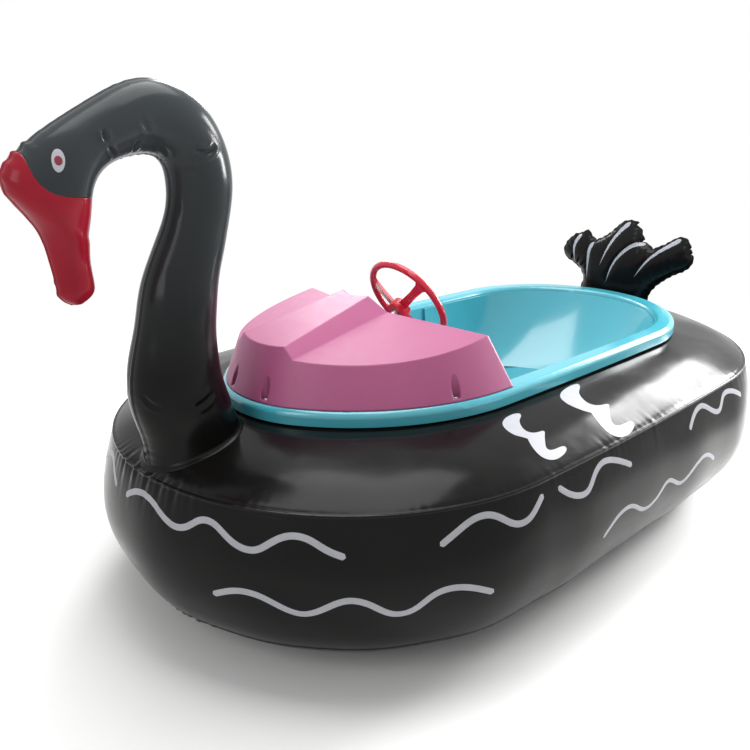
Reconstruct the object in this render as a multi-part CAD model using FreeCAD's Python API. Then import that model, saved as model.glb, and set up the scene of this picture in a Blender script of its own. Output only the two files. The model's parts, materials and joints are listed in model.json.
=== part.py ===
import FreeCAD, Part
import math
import os
from FreeCAD import Matrix, Placement, Rotation, Vector

# A child's electric bumper boat in the form of a swan, in millimetres.
# +X is the bow, +Y is port, +Z is up. The floor is z = 0, under the air tube,
# and the origin lies on it below the middle of the boat's length.

# Clearances
fit_gap = 0.5          # rigid pieces that lie side by side
soft_gap = 0.3         # air-filled pieces beside anything else
run_gap = 0.05         # shafts in their bushes, on the radius
pin_gap = 0.1          # screws in their holes, on the radius
overrun = 30.0         # how far every cutting shape runs past what it cuts

# Air tube, whose section hangs from the seam between its top and side panels
tube_half_width = 608.0
tube_widest_x = 311.0
tube_stern_reach = 1427.0
tube_stern_taper = 33.0
tube_height = 490.0
tube_depth = 220.0
tube_inner_depth = 290.0
side_panel_shares = ((0.836, 0.0), (0.157, 0.184), (-0.166, 0.478), (-0.125, 0.673), (0.0, 0.867))
top_panel_shares = ((0.0, 0.867), (0.295, 0.931), (0.636, 0.971), (1.0, 1.0))
tube_stern_radius = tube_half_width - tube_stern_taper

# Rim of the hull, seen from above: side arcs that run into end arcs
rim_half_width = 388.0
rim_widest_x = 168.0
rim_bow_reach = 493.0
rim_bow_radius = 266.0
rim_stern_reach = 1060.0
rim_stern_taper = 14.0
rim_rise = 40.0
rim_lip_depth = 35.0
rim_lip_wall = 5.0
rim_top_radius = 15.0
rim_inner_radius = 14.0
rim_width = 58.0
rim_stern_radius = rim_half_width - rim_stern_taper
rim_top_z = tube_height + rim_rise

# Hull below the rim
hull_wall = 5.0
hull_draft = 24.0
hull_depth = 425.0
hull_corner_radius = 30.0
floor_rib_count = 5
floor_rib_width = 10.0
floor_rib_height = 3.0
floor_rib_length = 260.0
floor_rib_pitch = 34.0
floor_rib_front_x = 163.0
hull_bottom_z = rim_top_z - hull_depth

# Well for the motor pod, a round can with a closed roof
well_radius = 123.0
well_height = 210.0
well_flange_width = 12.0
well_flange_height = 4.0
well_roof_z = hull_bottom_z + well_height

# Swan neck and head: forward, up, heading in degrees, half depth, half breadth
neck_root_inset = 106.0
neck_root_x = tube_widest_x + tube_half_width - neck_root_inset
neck_height = 735.0
neck_girth = 150.0
neck_station_shares = (
    (-0.034, -0.068, 85, 0.767, 0.667),
    (-0.022, 0.014, 85, 0.727, 0.647),
    (0.004, 0.114, 88, 0.720, 0.640),
    (0.012, 0.201, 92, 0.673, 0.593),
    (-0.003, 0.317, 98, 0.587, 0.520),
    (-0.031, 0.453, 103, 0.540, 0.480),
    (-0.087, 0.596, 105, 0.470, 0.420),
    (-0.113, 0.701, 95, 0.467, 0.413),
    (-0.093, 0.824, 62, 0.460, 0.420),
    (-0.038, 0.886, 38, 0.477, 0.440),
    (0.052, 0.909, 12, 0.473, 0.450),
    (0.148, 0.883, -14, 0.400, 0.427),
    (0.265, 0.803, -34, 0.467, 0.440),
    (0.297, 0.755, -40, 0.580, 0.440),
    (0.329, 0.697, -52, 0.617, 0.400),
    (0.299, 0.633, -62, 0.387, 0.313),
    (0.283, 0.562, -74, 0.273, 0.233),
    (0.276, 0.494, -85, 0.247, 0.200),
    (0.276, 0.457, -90, 0.167, 0.133),
    (0.276, 0.444, -90, 0.070, 0.060),
)
beak_line_shares = (
    (0.470, 0.862),
    (0.384, 0.849),
    (0.378, 0.812),
    (0.358, 0.758),
    (0.331, 0.739),
    (0.291, 0.729),
    (0.244, 0.722),
    (0.170, 0.710),
)
beak_floor_share = 0.38

# Tail fan, a flat cushion standing across the stern: side, up
tail_inset = 169.0
tail_x = tube_widest_x - tube_stern_reach + tail_inset
tail_half_width = 250.0
tail_height = 270.0
tail_half_thickness = 40.0
tail_root_depth = 60.0
tail_arc_shares = (
    ((-0.660, 0.056), (-0.720, 0.296), (-1.000, 0.459)),
    ((-1.000, 0.459), (-1.024, 0.611), (-0.852, 0.756)),
    ((-0.852, 0.756), (-0.748, 0.804), (-0.640, 0.800)),
    ((-0.640, 0.800), (-0.585, 0.750), (-0.516, 0.707)),
    ((-0.516, 0.707), (-0.280, 0.800), (-0.112, 0.970)),
    ((-0.112, 0.970), (0.012, 1.011), (0.124, 0.974)),
    ((0.124, 0.974), (0.200, 0.881), (0.236, 0.807)),
    ((0.236, 0.807), (0.320, 0.733), (0.436, 0.707)),
    ((0.436, 0.707), (0.560, 0.778), (0.688, 0.859)),
    ((0.688, 0.859), (0.860, 0.859), (0.968, 0.681)),
    ((0.968, 0.681), (0.888, 0.511), (0.680, 0.396)),
    ((0.680, 0.396), (0.496, 0.233), (0.356, 0.056)),
)
tail_crown_shares = ((-1.0, 0.80), (-0.72, 0.94), (0.0, 1.0), (0.72, 0.94), (1.0, 0.80))

# Seat moulding, which lines the stern half of the cockpit
seat_front_x = -267.0
seat_drop = 240.0
seat_z = rim_top_z - seat_drop
seat_half_width = 285.0
seat_widest_x = -177.0
seat_stern_reach = 430.0
seat_stern_radius = 262.0
seat_top_drop = 14.0
seat_edge = 6.0
seat_waist_share = 0.55
seat_waist_plan_share = 0.40
seat_dish_radius = 620.0
seat_dish_depth = 12.0
seat_dish_side = 230.0
seat_wall = 8.0
bay_length = 330.0
bay_half_width = 235.0

# Hood: raised spine, flatter shoulders and a dash face square to the column
hood_inset = 10.0
hood_wall = 4.0
hood_draft_share = 0.36
hood_rear_x = 137.0
hood_rise = 188.0
spine_top_shares = (0.349, 0.132, 1.0)
spine_front_shares = (0.689, 0.185, 0.787)
spine_foot_shares = (0.275, 0.238, 0.819)
shoulder_front_shares = (0.506, 0.257, 0.707)
shoulder_corner_shares = (0.097, 0.847, 0.681)
rear_corner_shares = (0.0, 1.0, 0.0)
pocket_radius = 11.0
pocket_height = 62.0
pocket_floor = 7.0
pocket_bow_side = 62.0
pocket_mid_x = 308.0

# Screws that hold the hood
screw_radius = 2.5
screw_head_radius = 6.0
screw_head_height = 3.5
screw_length = 20.0

# Steering wheel and column
wheel_x = 123.0
wheel_rise = 140.0
wheel_z = rim_top_z + wheel_rise
wheel_radius = 128.5
wheel_ring_radius = 9.0
wheel_dish = 34.0
wheel_turned = -8.7
spoke_count = 3
spoke_width = 26.0
spoke_thickness = 9.0
hub_radius = 27.0
hub_height = 30.0
column_rise = 30.0     # the column's angle above the horizontal, in degrees
column_radius = 10.0
column_thread_radius = 6.0
column_length = 369.5
wheel_nut_radius = 11.0
wheel_nut_height = 9.0
nut_recess = 5.0       # depth of the nut's recess in the hub
hub_cap_radius = 21.0
hub_cap_height = 7.0
collar_radius = 17.0
collar_height = 10.0

# Bevel gears between the column and the pod shaft
gear_teeth = 16
gear_module = 6.0
gear_face = 18.0
gear_pressure = 20.0
gear_backlash = 0.5
gear_rim = 5.0
gear_hub_radius = 19.0
gear_hub_height = 22.0

# Bushes and bracket of the column
bush_wall = 4.0
bush_length = 24.0
bush_flange = 4.0
bush_flange_height = 3.0
bracket_boss_wall = 6.0
bracket_distance = 98.0
bracket_web = 12.0
bracket_foot_length = 62.0
bracket_foot_width = 74.0
bracket_foot_height = 6.0
dash_boss_wall = 8.0
dash_boss_length = 26.0

# Pod shaft and its bearing housing on the well roof
pod_shaft_radius = 12.5
pod_shaft_bore = 7.0
housing_wall = 7.0
housing_flange_radius = 46.0
housing_flange_height = 6.0
housing_screw_circle = 36.0
housing_screw_count = 4
seal_height = 8.0
washer_height = 2.0
washer_radius = 21.0

# Motor pod, propeller and guard
pod_z = hull_bottom_z
pod_radius = 38.0
pod_wall = 4.0
pod_front = 58.0
pod_rear = 42.0
pod_nose = 26.0
pod_neck_radius = 21.0
pod_neck_height = 80.0
pod_neck_top_z = pod_z + pod_neck_height
pod_socket_depth = 35.0
pod_cap_length = 12.0
pod_spigot_length = 6.0
motor_bore_depth = 38.0
prop_shaft_radius = 5.0
prop_plane = 68.0
prop_radius = 62.0
prop_hub_radius = 13.0
prop_hub_length = 24.0
prop_nut_radius = 8.0
prop_nut_length = 8.0
blade_count = 3
blade_camber_share = 0.05
blade_station_shares = (
    (0.17, 0.30, 62, 0.09),
    (0.45, 0.52, 40, 0.065),
    (0.75, 0.55, 27, 0.045),
    (1.0, 0.26, 20, 0.03),
)
guard_gap = 6.0
guard_wall = 3.5
guard_length = 33.0
guard_strut_width = 7.0
guard_strut_count = 3
guard_clamp_wall = 4.0
guard_clamp_length = 22.0

# Battery, strap and controller in the bay under the seat
battery_length = 197.0
battery_width = 130.0
battery_height = 140.0
battery_x = -487.0
terminal_radius = 7.0
terminal_height = 10.0
strap_width = 30.0
strap_thickness = 3.0
strap_foot = 24.0
controller_length = 110.0
controller_width = 80.0
controller_height = 42.0
controller_y = 150.0
controller_fin_count = 7
controller_fin_width = 3.0
controller_fin_height = 8.0
controller_foot = 10.0
controller_foot_height = 4.0

# Accelerator pedal on the cockpit floor
pedal_x = 253.0
pedal_y = -130.0
pedal_length = 92.0
pedal_width = 64.0
pedal_thickness = 7.0
pedal_angle = 38.0
pedal_pin_radius = 4.0
pedal_travel = 20.0    # in degrees
pedal_pin_height = 23.0
pedal_pin_z = hull_bottom_z + pedal_pin_height
pedal_knuckle = 4.0
pedal_knuckle_length = 20.0
pedal_ear = 5.0
pedal_base_height = 5.0
pedal_tread_count = 5
pedal_tread_height = 2.0
spring_wire = 2.0
spring_turns = 4
spring_pitch = 2.8
spring_leg = 28.0
spring_leg_fall = 10.0
spring_samples_count = 8

# Start button on the dash
button_y = -75.0
button_up = 8.0
button_radius = 11.0
button_height = 7.0
button_travel = 3.0
button_depth = 6.0
bezel_radius = 16.0
bezel_height = 4.0
switch_radius = 13.0
switch_depth = 24.0

# Drain plug and air valves
plug_x = -687.0
plug_radius = 12.0
plug_head_radius = 20.0
plug_head_height = 6.0
valve_radius = 21.0
valve_height = 5.0
valve_cap_radius = 13.0
valve_cap_height = 6.0
valve_seat_depth = 14.0
tube_valve_x = -347.0
tube_valve_inset_share = 0.636
tube_valve_height_share = 0.971
neck_valve_after_count = 3   # neck stations below the valve
tail_valve_share = 0.30

os.makedirs("parts", exist_ok=True)

up = Vector(0, 0, 1)
origin = Vector(0, 0, 0)


def save(shape, name):
    """Check a sub-part and write it under its own name."""
    if not shape.isValid():
        print("not valid:", name)
    shape.exportStep("parts/" + name + ".step")
    print(name, len(shape.Solids), round(shape.Volume / 1000.0, 1), "cm3")


def polygon(points):
    """Closed face through points of the XZ plane, given as (x, z)."""
    corners = [Vector(x, 0, z) for x, z in points]
    return Part.Face(Part.makePolygon(corners + corners[:1]))


def rounded(points, radii):
    """Closed XZ face with an arc of its own radius at each corner."""
    edges = []
    count = len(points)
    corners = [Vector(x, 0, z) for x, z in points]
    starts, ends = [], []
    for index in range(count):
        corner = corners[index]
        back = (corners[index - 1] - corner).normalize()
        ahead = (corners[(index + 1) % count] - corner).normalize()
        half = back.getAngle(ahead) / 2
        radius = radii[index]
        if radius == 0:
            starts.append(corner)
            ends.append(corner)
            edges.append(None)
            continue
        reach = radius / math.tan(half)
        middle = corner + (back + ahead).normalize() * (radius / math.sin(half) - radius)
        starts.append(corner + back * reach)
        ends.append(corner + ahead * reach)
        edges.append(Part.Arc(starts[-1], middle, ends[-1]).toShape())
    outline = []
    for index in range(count):
        if edges[index] is not None:
            outline.append(edges[index])
        following = starts[(index + 1) % count]
        if ends[index].distanceToPoint(following) > soft_gap / 100:
            outline.append(Part.makeLine(ends[index], following))
    return Part.Face(Part.Wire(outline))


def turned(face):
    """Full turn about Z of a face in the XZ plane."""
    return face.revolve(origin, up, 360)


def dome(radius, foot, top):
    """Half outline of a round dome on Z, as an arc from its rim to its top."""
    rise = top - foot
    sphere = (radius ** 2 + rise ** 2) / (2 * rise)
    half = math.asin(radius / sphere) / 2
    middle = Vector(sphere * math.sin(half), 0, top - sphere + sphere * math.cos(half))
    return Part.Arc(Vector(radius, 0, foot), middle, Vector(0, 0, top)).toShape()


def lying(shape, at, axis):
    """Copy of a shape whose Z axis is laid along another axis, from a point."""
    copy = shape.copy()
    copy.Placement = Placement(at, Rotation(up, axis)).multiply(copy.Placement)
    return copy


def beyond(at, normal):
    """Large block that fills the space on one side of a plane."""
    size = 3 * tube_stern_reach
    block = Part.makeBox(size, size, size, Vector(-size / 2, -size / 2, 0))
    return lying(block, at, normal)


def hole(x, y, z):
    """Upright clearance hole for a screw, to cut right through at z."""
    return Part.makeCylinder(screw_radius + pin_gap, 2 * overrun, Vector(x, y, z - overrun))


def ring(outer, inner, height, z=0.0):
    """Upright tube with its foot at z."""
    body = Part.makeCylinder(outer, height, Vector(0, 0, z))
    return body.cut(Part.makeCylinder(inner, height + 2 * overrun, Vector(0, 0, z - overrun)))


# Plans: an outline seen from above, as middle, half width and two ends
rim_bow = (rim_bow_reach, rim_bow_radius)
rim_stern = (rim_stern_reach, rim_stern_radius)
rim_plan = (rim_widest_x, rim_half_width) + rim_bow + rim_stern
tube_stern = (tube_stern_reach, tube_stern_radius)
tube_plan = (tube_widest_x, tube_half_width, tube_half_width, tube_half_width) + tube_stern


def quarter_arcs(half, reach, end_radius):
    """Arcs from an end of a plan to its widest place: centre, radius, angles."""
    if end_radius >= half:
        return [(0.0, 0.0, half, 0.0, math.pi / 2)]
    along = reach - end_radius
    side_radius = (along ** 2 + half ** 2 - end_radius ** 2) / (2 * (half - end_radius))
    joint = math.atan2(side_radius - half, along)
    return [
        (along, 0.0, end_radius, 0.0, joint),
        (0.0, half - side_radius, side_radius, joint, math.pi / 2),
    ]


def plan_quarters(plan):
    """The four quarters of a plan in order round it, as direction and arcs."""
    middle, half, bow, bow_radius, stern, stern_radius = plan
    front = quarter_arcs(half, bow, bow_radius)
    rear = quarter_arcs(half, stern, stern_radius)
    return [(1, 1, front, False), (-1, 1, rear, True), (-1, -1, rear, False), (1, -1, front, True)]


def plan_wire(plan, inset, z):
    """Outline of a plan at one height, drawn in by an inset."""
    edges = []
    for way, side, arcs, backwards in plan_quarters(plan):
        for cx, cy, radius, start, stop in (reversed(arcs) if backwards else arcs):
            angles = [start, (start + stop) / 2, stop]
            if backwards:
                angles.reverse()
            drawn = radius - inset
            points = [
                Vector(
                    plan[0] + way * (cx + drawn * math.cos(angle)),
                    side * (cy + drawn * math.sin(angle)),
                    z,
                )
                for angle in angles
            ]
            edges.append(Part.Arc(*points).toShape())
    return Part.Wire(edges)


def plan_side(plan, x, inset):
    """Half width of a plan at a place along it, on its side arc."""
    middle, half, bow, bow_radius, stern, stern_radius = plan
    arcs = quarter_arcs(half, bow, bow_radius) if x > middle else quarter_arcs(half, stern, stern_radius)
    centre_y, radius = arcs[-1][1:3]
    return centre_y + math.sqrt((radius - inset) ** 2 - (x - middle) ** 2)


def plan_slab(plan, inset, z, height):
    """Flat plate of a plan."""
    return Part.Face(plan_wire(plan, inset, z)).extrude(Vector(0, 0, height))


def plan_loft(levels, ruled=False):
    """Solid through plans at rising heights, as (plan, inset, z)."""
    return Part.makeLoft([plan_wire(*level) for level in levels], True, ruled)


def plan_ring(plan, section):
    """Solid with one section all round a plan. The section's x is minus the inset."""
    pieces = []
    for way, side, arcs, backwards in plan_quarters(plan):
        for cx, cy, radius, start, stop in arcs:
            piece = section.copy()
            piece.translate(Vector(radius, 0, 0))
            piece.rotate(origin, up, math.degrees(start))
            piece = piece.revolve(origin, up, math.degrees(stop - start))
            piece.translate(Vector(cx, cy, 0))
            if way < 0:
                piece = piece.mirror(origin, Vector(1, 0, 0))
            if side < 0:
                piece = piece.mirror(origin, Vector(0, 1, 0))
            piece.translate(Vector(plan[0], 0, 0))
            pieces.append(piece)
    return pieces[0].multiFuse(pieces[1:]).removeSplitter()


# Hull: heights and insets that several pieces share
rim_lip_z = rim_top_z - rim_lip_depth
wall_top_z = rim_top_z - rim_lip_wall
hull_floor_z = hull_bottom_z + hull_wall
roof_top_z = well_roof_z + hull_wall


def wall_inset(z):
    """Inset of the hull's inner wall face at a height."""
    share = (rim_top_z - z) / (rim_top_z - hull_bottom_z)
    return rim_width + hull_draft * share


floor_inset = wall_inset(hull_bottom_z) + hull_corner_radius


def hull_section():
    """Section of the rim, lip and side wall, with x as minus the inset."""
    outer_top = wall_inset(wall_top_z) - hull_wall
    outer_foot = wall_inset(hull_bottom_z) - hull_wall
    foot_end = floor_inset
    points = (
        (0, rim_lip_z),
        (0, rim_top_z),
        (-rim_width, rim_top_z),
        (-wall_inset(hull_floor_z), hull_floor_z),
        (-foot_end, hull_floor_z),
        (-foot_end, hull_bottom_z),
        (-outer_foot, hull_bottom_z),
        (-outer_top, wall_top_z),
        (-rim_lip_wall, wall_top_z),
        (-rim_lip_wall, rim_lip_z),
    )
    inside = rim_top_radius - rim_lip_wall
    inner_corner = hull_corner_radius - hull_wall
    radii = (0, rim_top_radius, rim_inner_radius, inner_corner, 0, 0, hull_corner_radius, 0, inside, 0)
    return rounded(points, radii)


def hull_envelope(gap):
    """Space that the hull's side wall takes out of the tube, open downwards."""
    foot = wall_inset(hull_bottom_z) - hull_wall - gap
    top = wall_inset(rim_top_z) - hull_wall - gap
    side = plan_loft(((rim_plan, foot, hull_bottom_z), (rim_plan, top, rim_top_z)), ruled=True)
    below = plan_slab(rim_plan, foot, -overrun, hull_bottom_z + overrun)
    return side.fuse(below)


def hull_cavity(gap, z_low, z_high):
    """Space inside the hull's side wall."""
    low = (rim_plan, wall_inset(z_low) + gap, z_low)
    high = (rim_plan, wall_inset(z_high) + gap, z_high)
    return plan_loft((low, high), ruled=True)


# Column axis: the gears' cones meet at the apex, above the well
column_axis = Vector(-math.cos(math.radians(column_rise)), 0, math.sin(math.radians(column_rise)))
wheel_centre = Vector(wheel_x, 0, wheel_z)
apex = wheel_centre - column_axis * column_length
pitch_cone = (90.0 + column_rise) / 2


def on_column(shape, distance):
    """Copy of a shape that stands on Z, moved out along the column's axis."""
    return lying(shape, apex + column_axis * distance, column_axis)


def hull_tub():
    """One moulding: rim, side wall, floor with a hole for the well, and anti-slip ribs."""
    hull = plan_ring(rim_plan, hull_section())
    hull = hull.fuse(plan_slab(rim_plan, floor_inset, hull_bottom_z, hull_wall))
    hull = hull.cut(well_column(well_radius + hull_wall + fit_gap, hull_bottom_z - overrun, roof_top_z))
    for index in range(floor_rib_count):
        x = floor_rib_front_x - index * floor_rib_pitch
        rib = Part.makeBox(
            floor_rib_width,
            floor_rib_length,
            2 * floor_rib_height,
            Vector(x - floor_rib_width, -floor_rib_length / 2, hull_floor_z - floor_rib_height),
        )
        hull = hull.fuse(rib)
    drain_foot = Vector(plug_x, 0, hull_bottom_z - overrun)
    hull = hull.cut(Part.makeCylinder(plug_radius + pin_gap, 2 * overrun, drain_foot))
    for at in pocket_places():
        hull = hull.cut(hole(at.x, at.y, at.z))
    return hull


def well_column(radius, low, high):
    """Cylinder on the pod's own axis between two heights."""
    return Part.makeCylinder(radius, high - low, Vector(apex.x, 0, low))


def motor_well():
    """Can over the motor pod, bonded to the hull floor by its flange."""
    outer = well_radius + hull_wall
    flange = well_column(outer + well_flange_width, hull_floor_z, hull_floor_z + well_flange_height)
    flange = flange.common(plan_slab(rim_plan, floor_inset, hull_floor_z, well_flange_height))
    can = well_column(outer, hull_bottom_z, roof_top_z).fuse(flange)
    can = can.cut(well_column(well_radius, hull_bottom_z - overrun, well_roof_z))
    can = can.cut(well_column(housing_radius + pin_gap, well_roof_z - overrun, roof_top_z + overrun))
    for at in bracket_screw_places() + housing_screw_places():
        can = can.cut(hole(at.x, at.y, at.z))
    return can


def tube_section(grow):
    """Closed section of the air tube, with x as minus the inset from the seam."""
    side = [Vector(-a * tube_depth, 0, b * tube_height) for a, b in side_panel_shares]
    top = [Vector(-a * tube_depth, 0, b * tube_height) for a, b in top_panel_shares]
    curves = []
    for points in (side, top):
        spline = Part.BSplineCurve()
        spline.interpolate(points)
        curves.append(spline.toShape())
    inner_top = Vector(-tube_inner_depth, 0, tube_height)
    inner_foot = Vector(-tube_inner_depth, 0, 0)
    lines = [
        Part.makeLine(top[-1], inner_top),
        Part.makeLine(inner_top, inner_foot),
        Part.makeLine(inner_foot, side[0]),
    ]
    face = Part.Face(Part.Wire(curves + lines))
    if grow:
        face.translate(Vector(grow, 0, grow))
    return face


def air_tube():
    """The black ring that floats the boat and takes the knocks."""
    return plan_ring(tube_plan, tube_section(0)).cut(hull_envelope(fit_gap))


def grown_tube():
    """The tube, raised and widened by the clearance of what sits on it."""
    return plan_ring(tube_plan, tube_section(soft_gap))


def oval(at, heading, depth, breadth):
    """Oval of four arcs across a heading in the XZ plane."""
    edges = []
    for quarter in range(4):
        angles = [math.radians(90 * quarter + part) for part in (0, 45, 90)]
        points = [Vector(math.cos(angle), math.sin(angle), 0) for angle in angles]
        edges.append(Part.Arc(*points).toShape())
    wire = Part.Wire(edges)
    tilt = math.radians(heading)
    across = Vector(-math.sin(tilt), 0, math.cos(tilt)) * depth
    side = Vector(0, 1, 0) * breadth
    onward = Vector(math.cos(tilt), 0, math.sin(tilt))
    matrix = Matrix(
        across.x, side.x, onward.x, at.x,
        across.y, side.y, onward.y, at.y,
        across.z, side.z, onward.z, at.z,
        0, 0, 0, 1,
    )
    return wire.transformGeometry(matrix)


def neck_point(forward, rise):
    """Point of the neck's own plane from shares of its height."""
    return Vector(neck_root_x + forward * neck_height, 0, tube_height + rise * neck_height)


def neck_form():
    """Neck, head and beak as one swelling and tapering form."""
    wires = [
        oval(neck_point(forward, rise), heading, depth * neck_girth, breadth * neck_girth)
        for forward, rise, heading, depth, breadth in neck_station_shares
    ]
    return Part.makeLoft(wires, True, False)


def beak_space():
    """Everything on the beak's side of the line where red meets black."""
    line = [neck_point(forward, rise) for forward, rise in beak_line_shares]
    spline = Part.BSplineCurve()
    spline.interpolate(line)
    low_inner = neck_point(beak_line_shares[-1][0], beak_floor_share)
    low_outer = neck_point(beak_line_shares[0][0], beak_floor_share)
    edges = [
        spline.toShape(),
        Part.makeLine(line[-1], low_inner),
        Part.makeLine(low_inner, low_outer),
        Part.makeLine(low_outer, line[0]),
    ]
    face = Part.Face(Part.Wire(edges))
    face.translate(Vector(0, -neck_girth, 0))
    return face.extrude(Vector(0, 2 * neck_girth, 0))


def tail_outline(scale, x):
    """Scalloped outline of the tail, scaled about its root."""
    def place(share):
        side, rise = share
        return Vector(
            x,
            side * tail_half_width * scale,
            tube_height - tail_root_depth + (rise * tail_height + tail_root_depth) * scale,
        )

    edges = [Part.Arc(*[place(share) for share in arc]).toShape() for arc in tail_arc_shares]
    first = place(tail_arc_shares[0][0])
    last = place(tail_arc_shares[-1][-1])
    root_z = tube_height - tail_root_depth
    foot_first = Vector(x, first.y, root_z)
    foot_last = Vector(x, last.y, root_z)
    edges.append(Part.makeLine(last, foot_last))
    edges.append(Part.makeLine(foot_last, foot_first))
    edges.append(Part.makeLine(foot_first, first))
    return Part.Wire(edges)


def tail_fan(tube):
    """Air-filled fan of feathers, crowned on both faces."""
    wires = [
        tail_outline(scale, tail_x + offset * tail_half_thickness) for offset, scale in tail_crown_shares
    ]
    return Part.makeLoft(wires, True, False).cut(tube)


seat_level_plan = (
    seat_widest_x, seat_half_width, seat_half_width, seat_half_width, seat_stern_reach, seat_stern_radius,
)


def blended_plan(share):
    """Plan between the rim and the seat, as a share of the way down."""
    return tuple(a + (b - a) * share for a, b in zip(rim_plan, seat_level_plan))


def seat_moulding():
    """Seat, backrest and side fillets in one piece over the battery bay."""
    top_z = rim_top_z - seat_top_drop
    foot_z = hull_floor_z + fit_gap
    block = hull_cavity(fit_gap, foot_z, top_z)
    foot = plan_slab(rim_plan, floor_inset, foot_z, hull_corner_radius)
    above = plan_slab(rim_plan, 0, hull_floor_z + hull_corner_radius, rim_top_z)
    block = block.common(foot.fuse(above))
    block = block.cut(beyond(Vector(seat_front_x, 0, 0), Vector(1, 0, 0)))
    edge = wall_inset(top_z) + seat_edge
    waist_z = top_z - (top_z - seat_z) * seat_waist_share
    bowl = plan_loft((
        (rim_plan, edge, top_z),
        (blended_plan(seat_waist_plan_share), edge * (1 - seat_waist_plan_share), waist_z),
        (seat_level_plan, 0, seat_z),
    ))
    block = block.cut(bowl)
    dish = Part.makeCylinder(seat_dish_radius, 2 * seat_half_width, origin, Vector(0, 1, 0))
    dish.translate(Vector(
        (seat_front_x + seat_widest_x - seat_stern_reach) / 2,
        -seat_half_width,
        seat_z - seat_dish_depth + seat_dish_radius,
    ))
    pan = Part.makeBox(2 * seat_stern_reach, 2 * seat_dish_side, seat_dish_depth + fit_gap)
    pan.translate(Vector(seat_front_x - 2 * seat_stern_reach, -seat_dish_side, seat_z - seat_dish_depth))
    block = block.cut(dish.common(pan))
    bay_height = seat_z - seat_dish_depth - seat_wall - hull_bottom_z
    bay = Part.makeBox(bay_length, 2 * bay_half_width, bay_height)
    bay.translate(Vector(seat_front_x - seat_wall - bay_length, -bay_half_width, hull_bottom_z))
    return block.cut(bay)


hood_length = rim_widest_x + rim_bow_reach - hood_rear_x
hood_half_width = rim_half_width - hood_inset


def hood_point(shares):
    """Corner of the hood from shares of its length, half width and rise."""
    along, side, rise = shares
    return Vector(hood_rear_x + along * hood_length, side * hood_half_width, rim_top_z + rise * hood_rise)


spine_top = hood_point(spine_top_shares)
spine_front = hood_point(spine_front_shares)
spine_foot = hood_point(spine_foot_shares)
shoulder_front = hood_point(shoulder_front_shares)
shoulder_corner = hood_point(shoulder_corner_shares)
hood_rear_corner = hood_point(rear_corner_shares)


def hood_form(inset):
    """Outer or inner form of the hood, drawn in by an inset."""
    height = hood_rise + overrun
    foot = (rim_plan, hood_inset + inset, rim_top_z + soft_gap)
    head = (rim_plan, hood_inset + inset + hood_draft_share * height, rim_top_z + soft_gap + height)
    prism = plan_loft((foot, head), ruled=True)
    ridge = spine_front - spine_top
    top_normal = Vector(spine_top.z - spine_front.z, 0, spine_front.x - spine_top.x).normalize()
    flank_normal = ridge.cross(spine_foot - spine_top).normalize()
    if flank_normal.z < 0:
        flank_normal = -flank_normal
    shoulder_normal = (shoulder_front - spine_foot).cross(shoulder_corner - spine_foot).normalize()
    if shoulder_normal.z < 0:
        shoulder_normal = -shoulder_normal
    dash_normal = column_axis
    wing_normal = (shoulder_corner - spine_foot).cross(hood_rear_corner - spine_foot).normalize()
    if wing_normal.x > 0:
        wing_normal = -wing_normal

    def other(vector):
        return Vector(vector.x, -vector.y, vector.z)

    def drawn(at, normal):
        return beyond(at - normal * inset, normal)

    spine = prism.cut(drawn(spine_top, top_normal))
    shoulders = prism.copy()
    for face in (lambda vector: vector, other):
        spine = spine.cut(drawn(face(spine_top), face(flank_normal)))
        shoulders = shoulders.cut(drawn(face(spine_foot), face(shoulder_normal)))
    solid = spine.fuse(shoulders)
    recess = drawn(Vector(spine_top.x, 0, spine_top.z), dash_normal)
    recess = recess.common(drawn(spine_foot, wing_normal))
    recess = recess.common(drawn(other(spine_foot), other(wing_normal)))
    return solid.cut(recess)


def pocket_places():
    """Screw pockets of the hood, two at the bow and two amidships."""
    places = []
    for x, y in hood_foot_points():
        places.append(Vector(x, y, rim_top_z))
        places.append(Vector(x, -y, rim_top_z))
    return places


def hood_foot_points():
    """Port-side pocket centres, just inside the hood's lower edge."""
    inset = hood_inset + pocket_radius
    arcs = quarter_arcs(rim_half_width, rim_bow_reach, rim_bow_radius)
    end_x, end_radius = arcs[0][0], arcs[0][2]
    bow_x = rim_widest_x + end_x + math.sqrt((end_radius - inset) ** 2 - pocket_bow_side ** 2)
    return [(bow_x, pocket_bow_side), (pocket_mid_x, plan_side(rim_plan, pocket_mid_x, inset))]


def hood():
    """Thin moulded hood with a screw pocket at each fixing."""
    outer = hood_form(0)
    shell = outer.cut(hood_form(hood_wall))
    pads = []
    for at in pocket_places():
        boss = Part.makeCylinder(pocket_radius + hood_wall, pocket_height, Vector(at.x, at.y, rim_top_z))
        pads.append(boss.common(outer))
    shell = shell.fuse(pads[0].multiFuse(pads[1:]))
    dash_point = apex + column_axis * dash_distance()
    boss = Part.makeCylinder(bush_outer + dash_boss_wall, dash_boss_length)
    shell = shell.fuse(lying(boss, dash_point - column_axis * dash_boss_length, column_axis))
    for at in pocket_places():
        floor = Vector(at.x, at.y, rim_top_z + pocket_floor)
        shell = shell.cut(Part.makeCylinder(pocket_radius, pocket_height, floor))
        shell = shell.cut(hole(at.x, at.y, rim_top_z))
    bore = Part.makeCylinder(bush_outer + run_gap, 3 * dash_boss_length)
    shell = shell.cut(lying(bore, dash_point - column_axis * 2 * dash_boss_length, column_axis))
    switch_hole = Part.makeCylinder(switch_radius + pin_gap, 2 * switch_depth, Vector(0, 0, -switch_depth))
    return shell.cut(lying(switch_hole, button_place(), column_axis))


def hood_screws():
    """One screw on the floor of each pocket."""
    return Part.makeCompound([screw(at + up * pocket_floor, screw_length) for at in pocket_places()])


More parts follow.
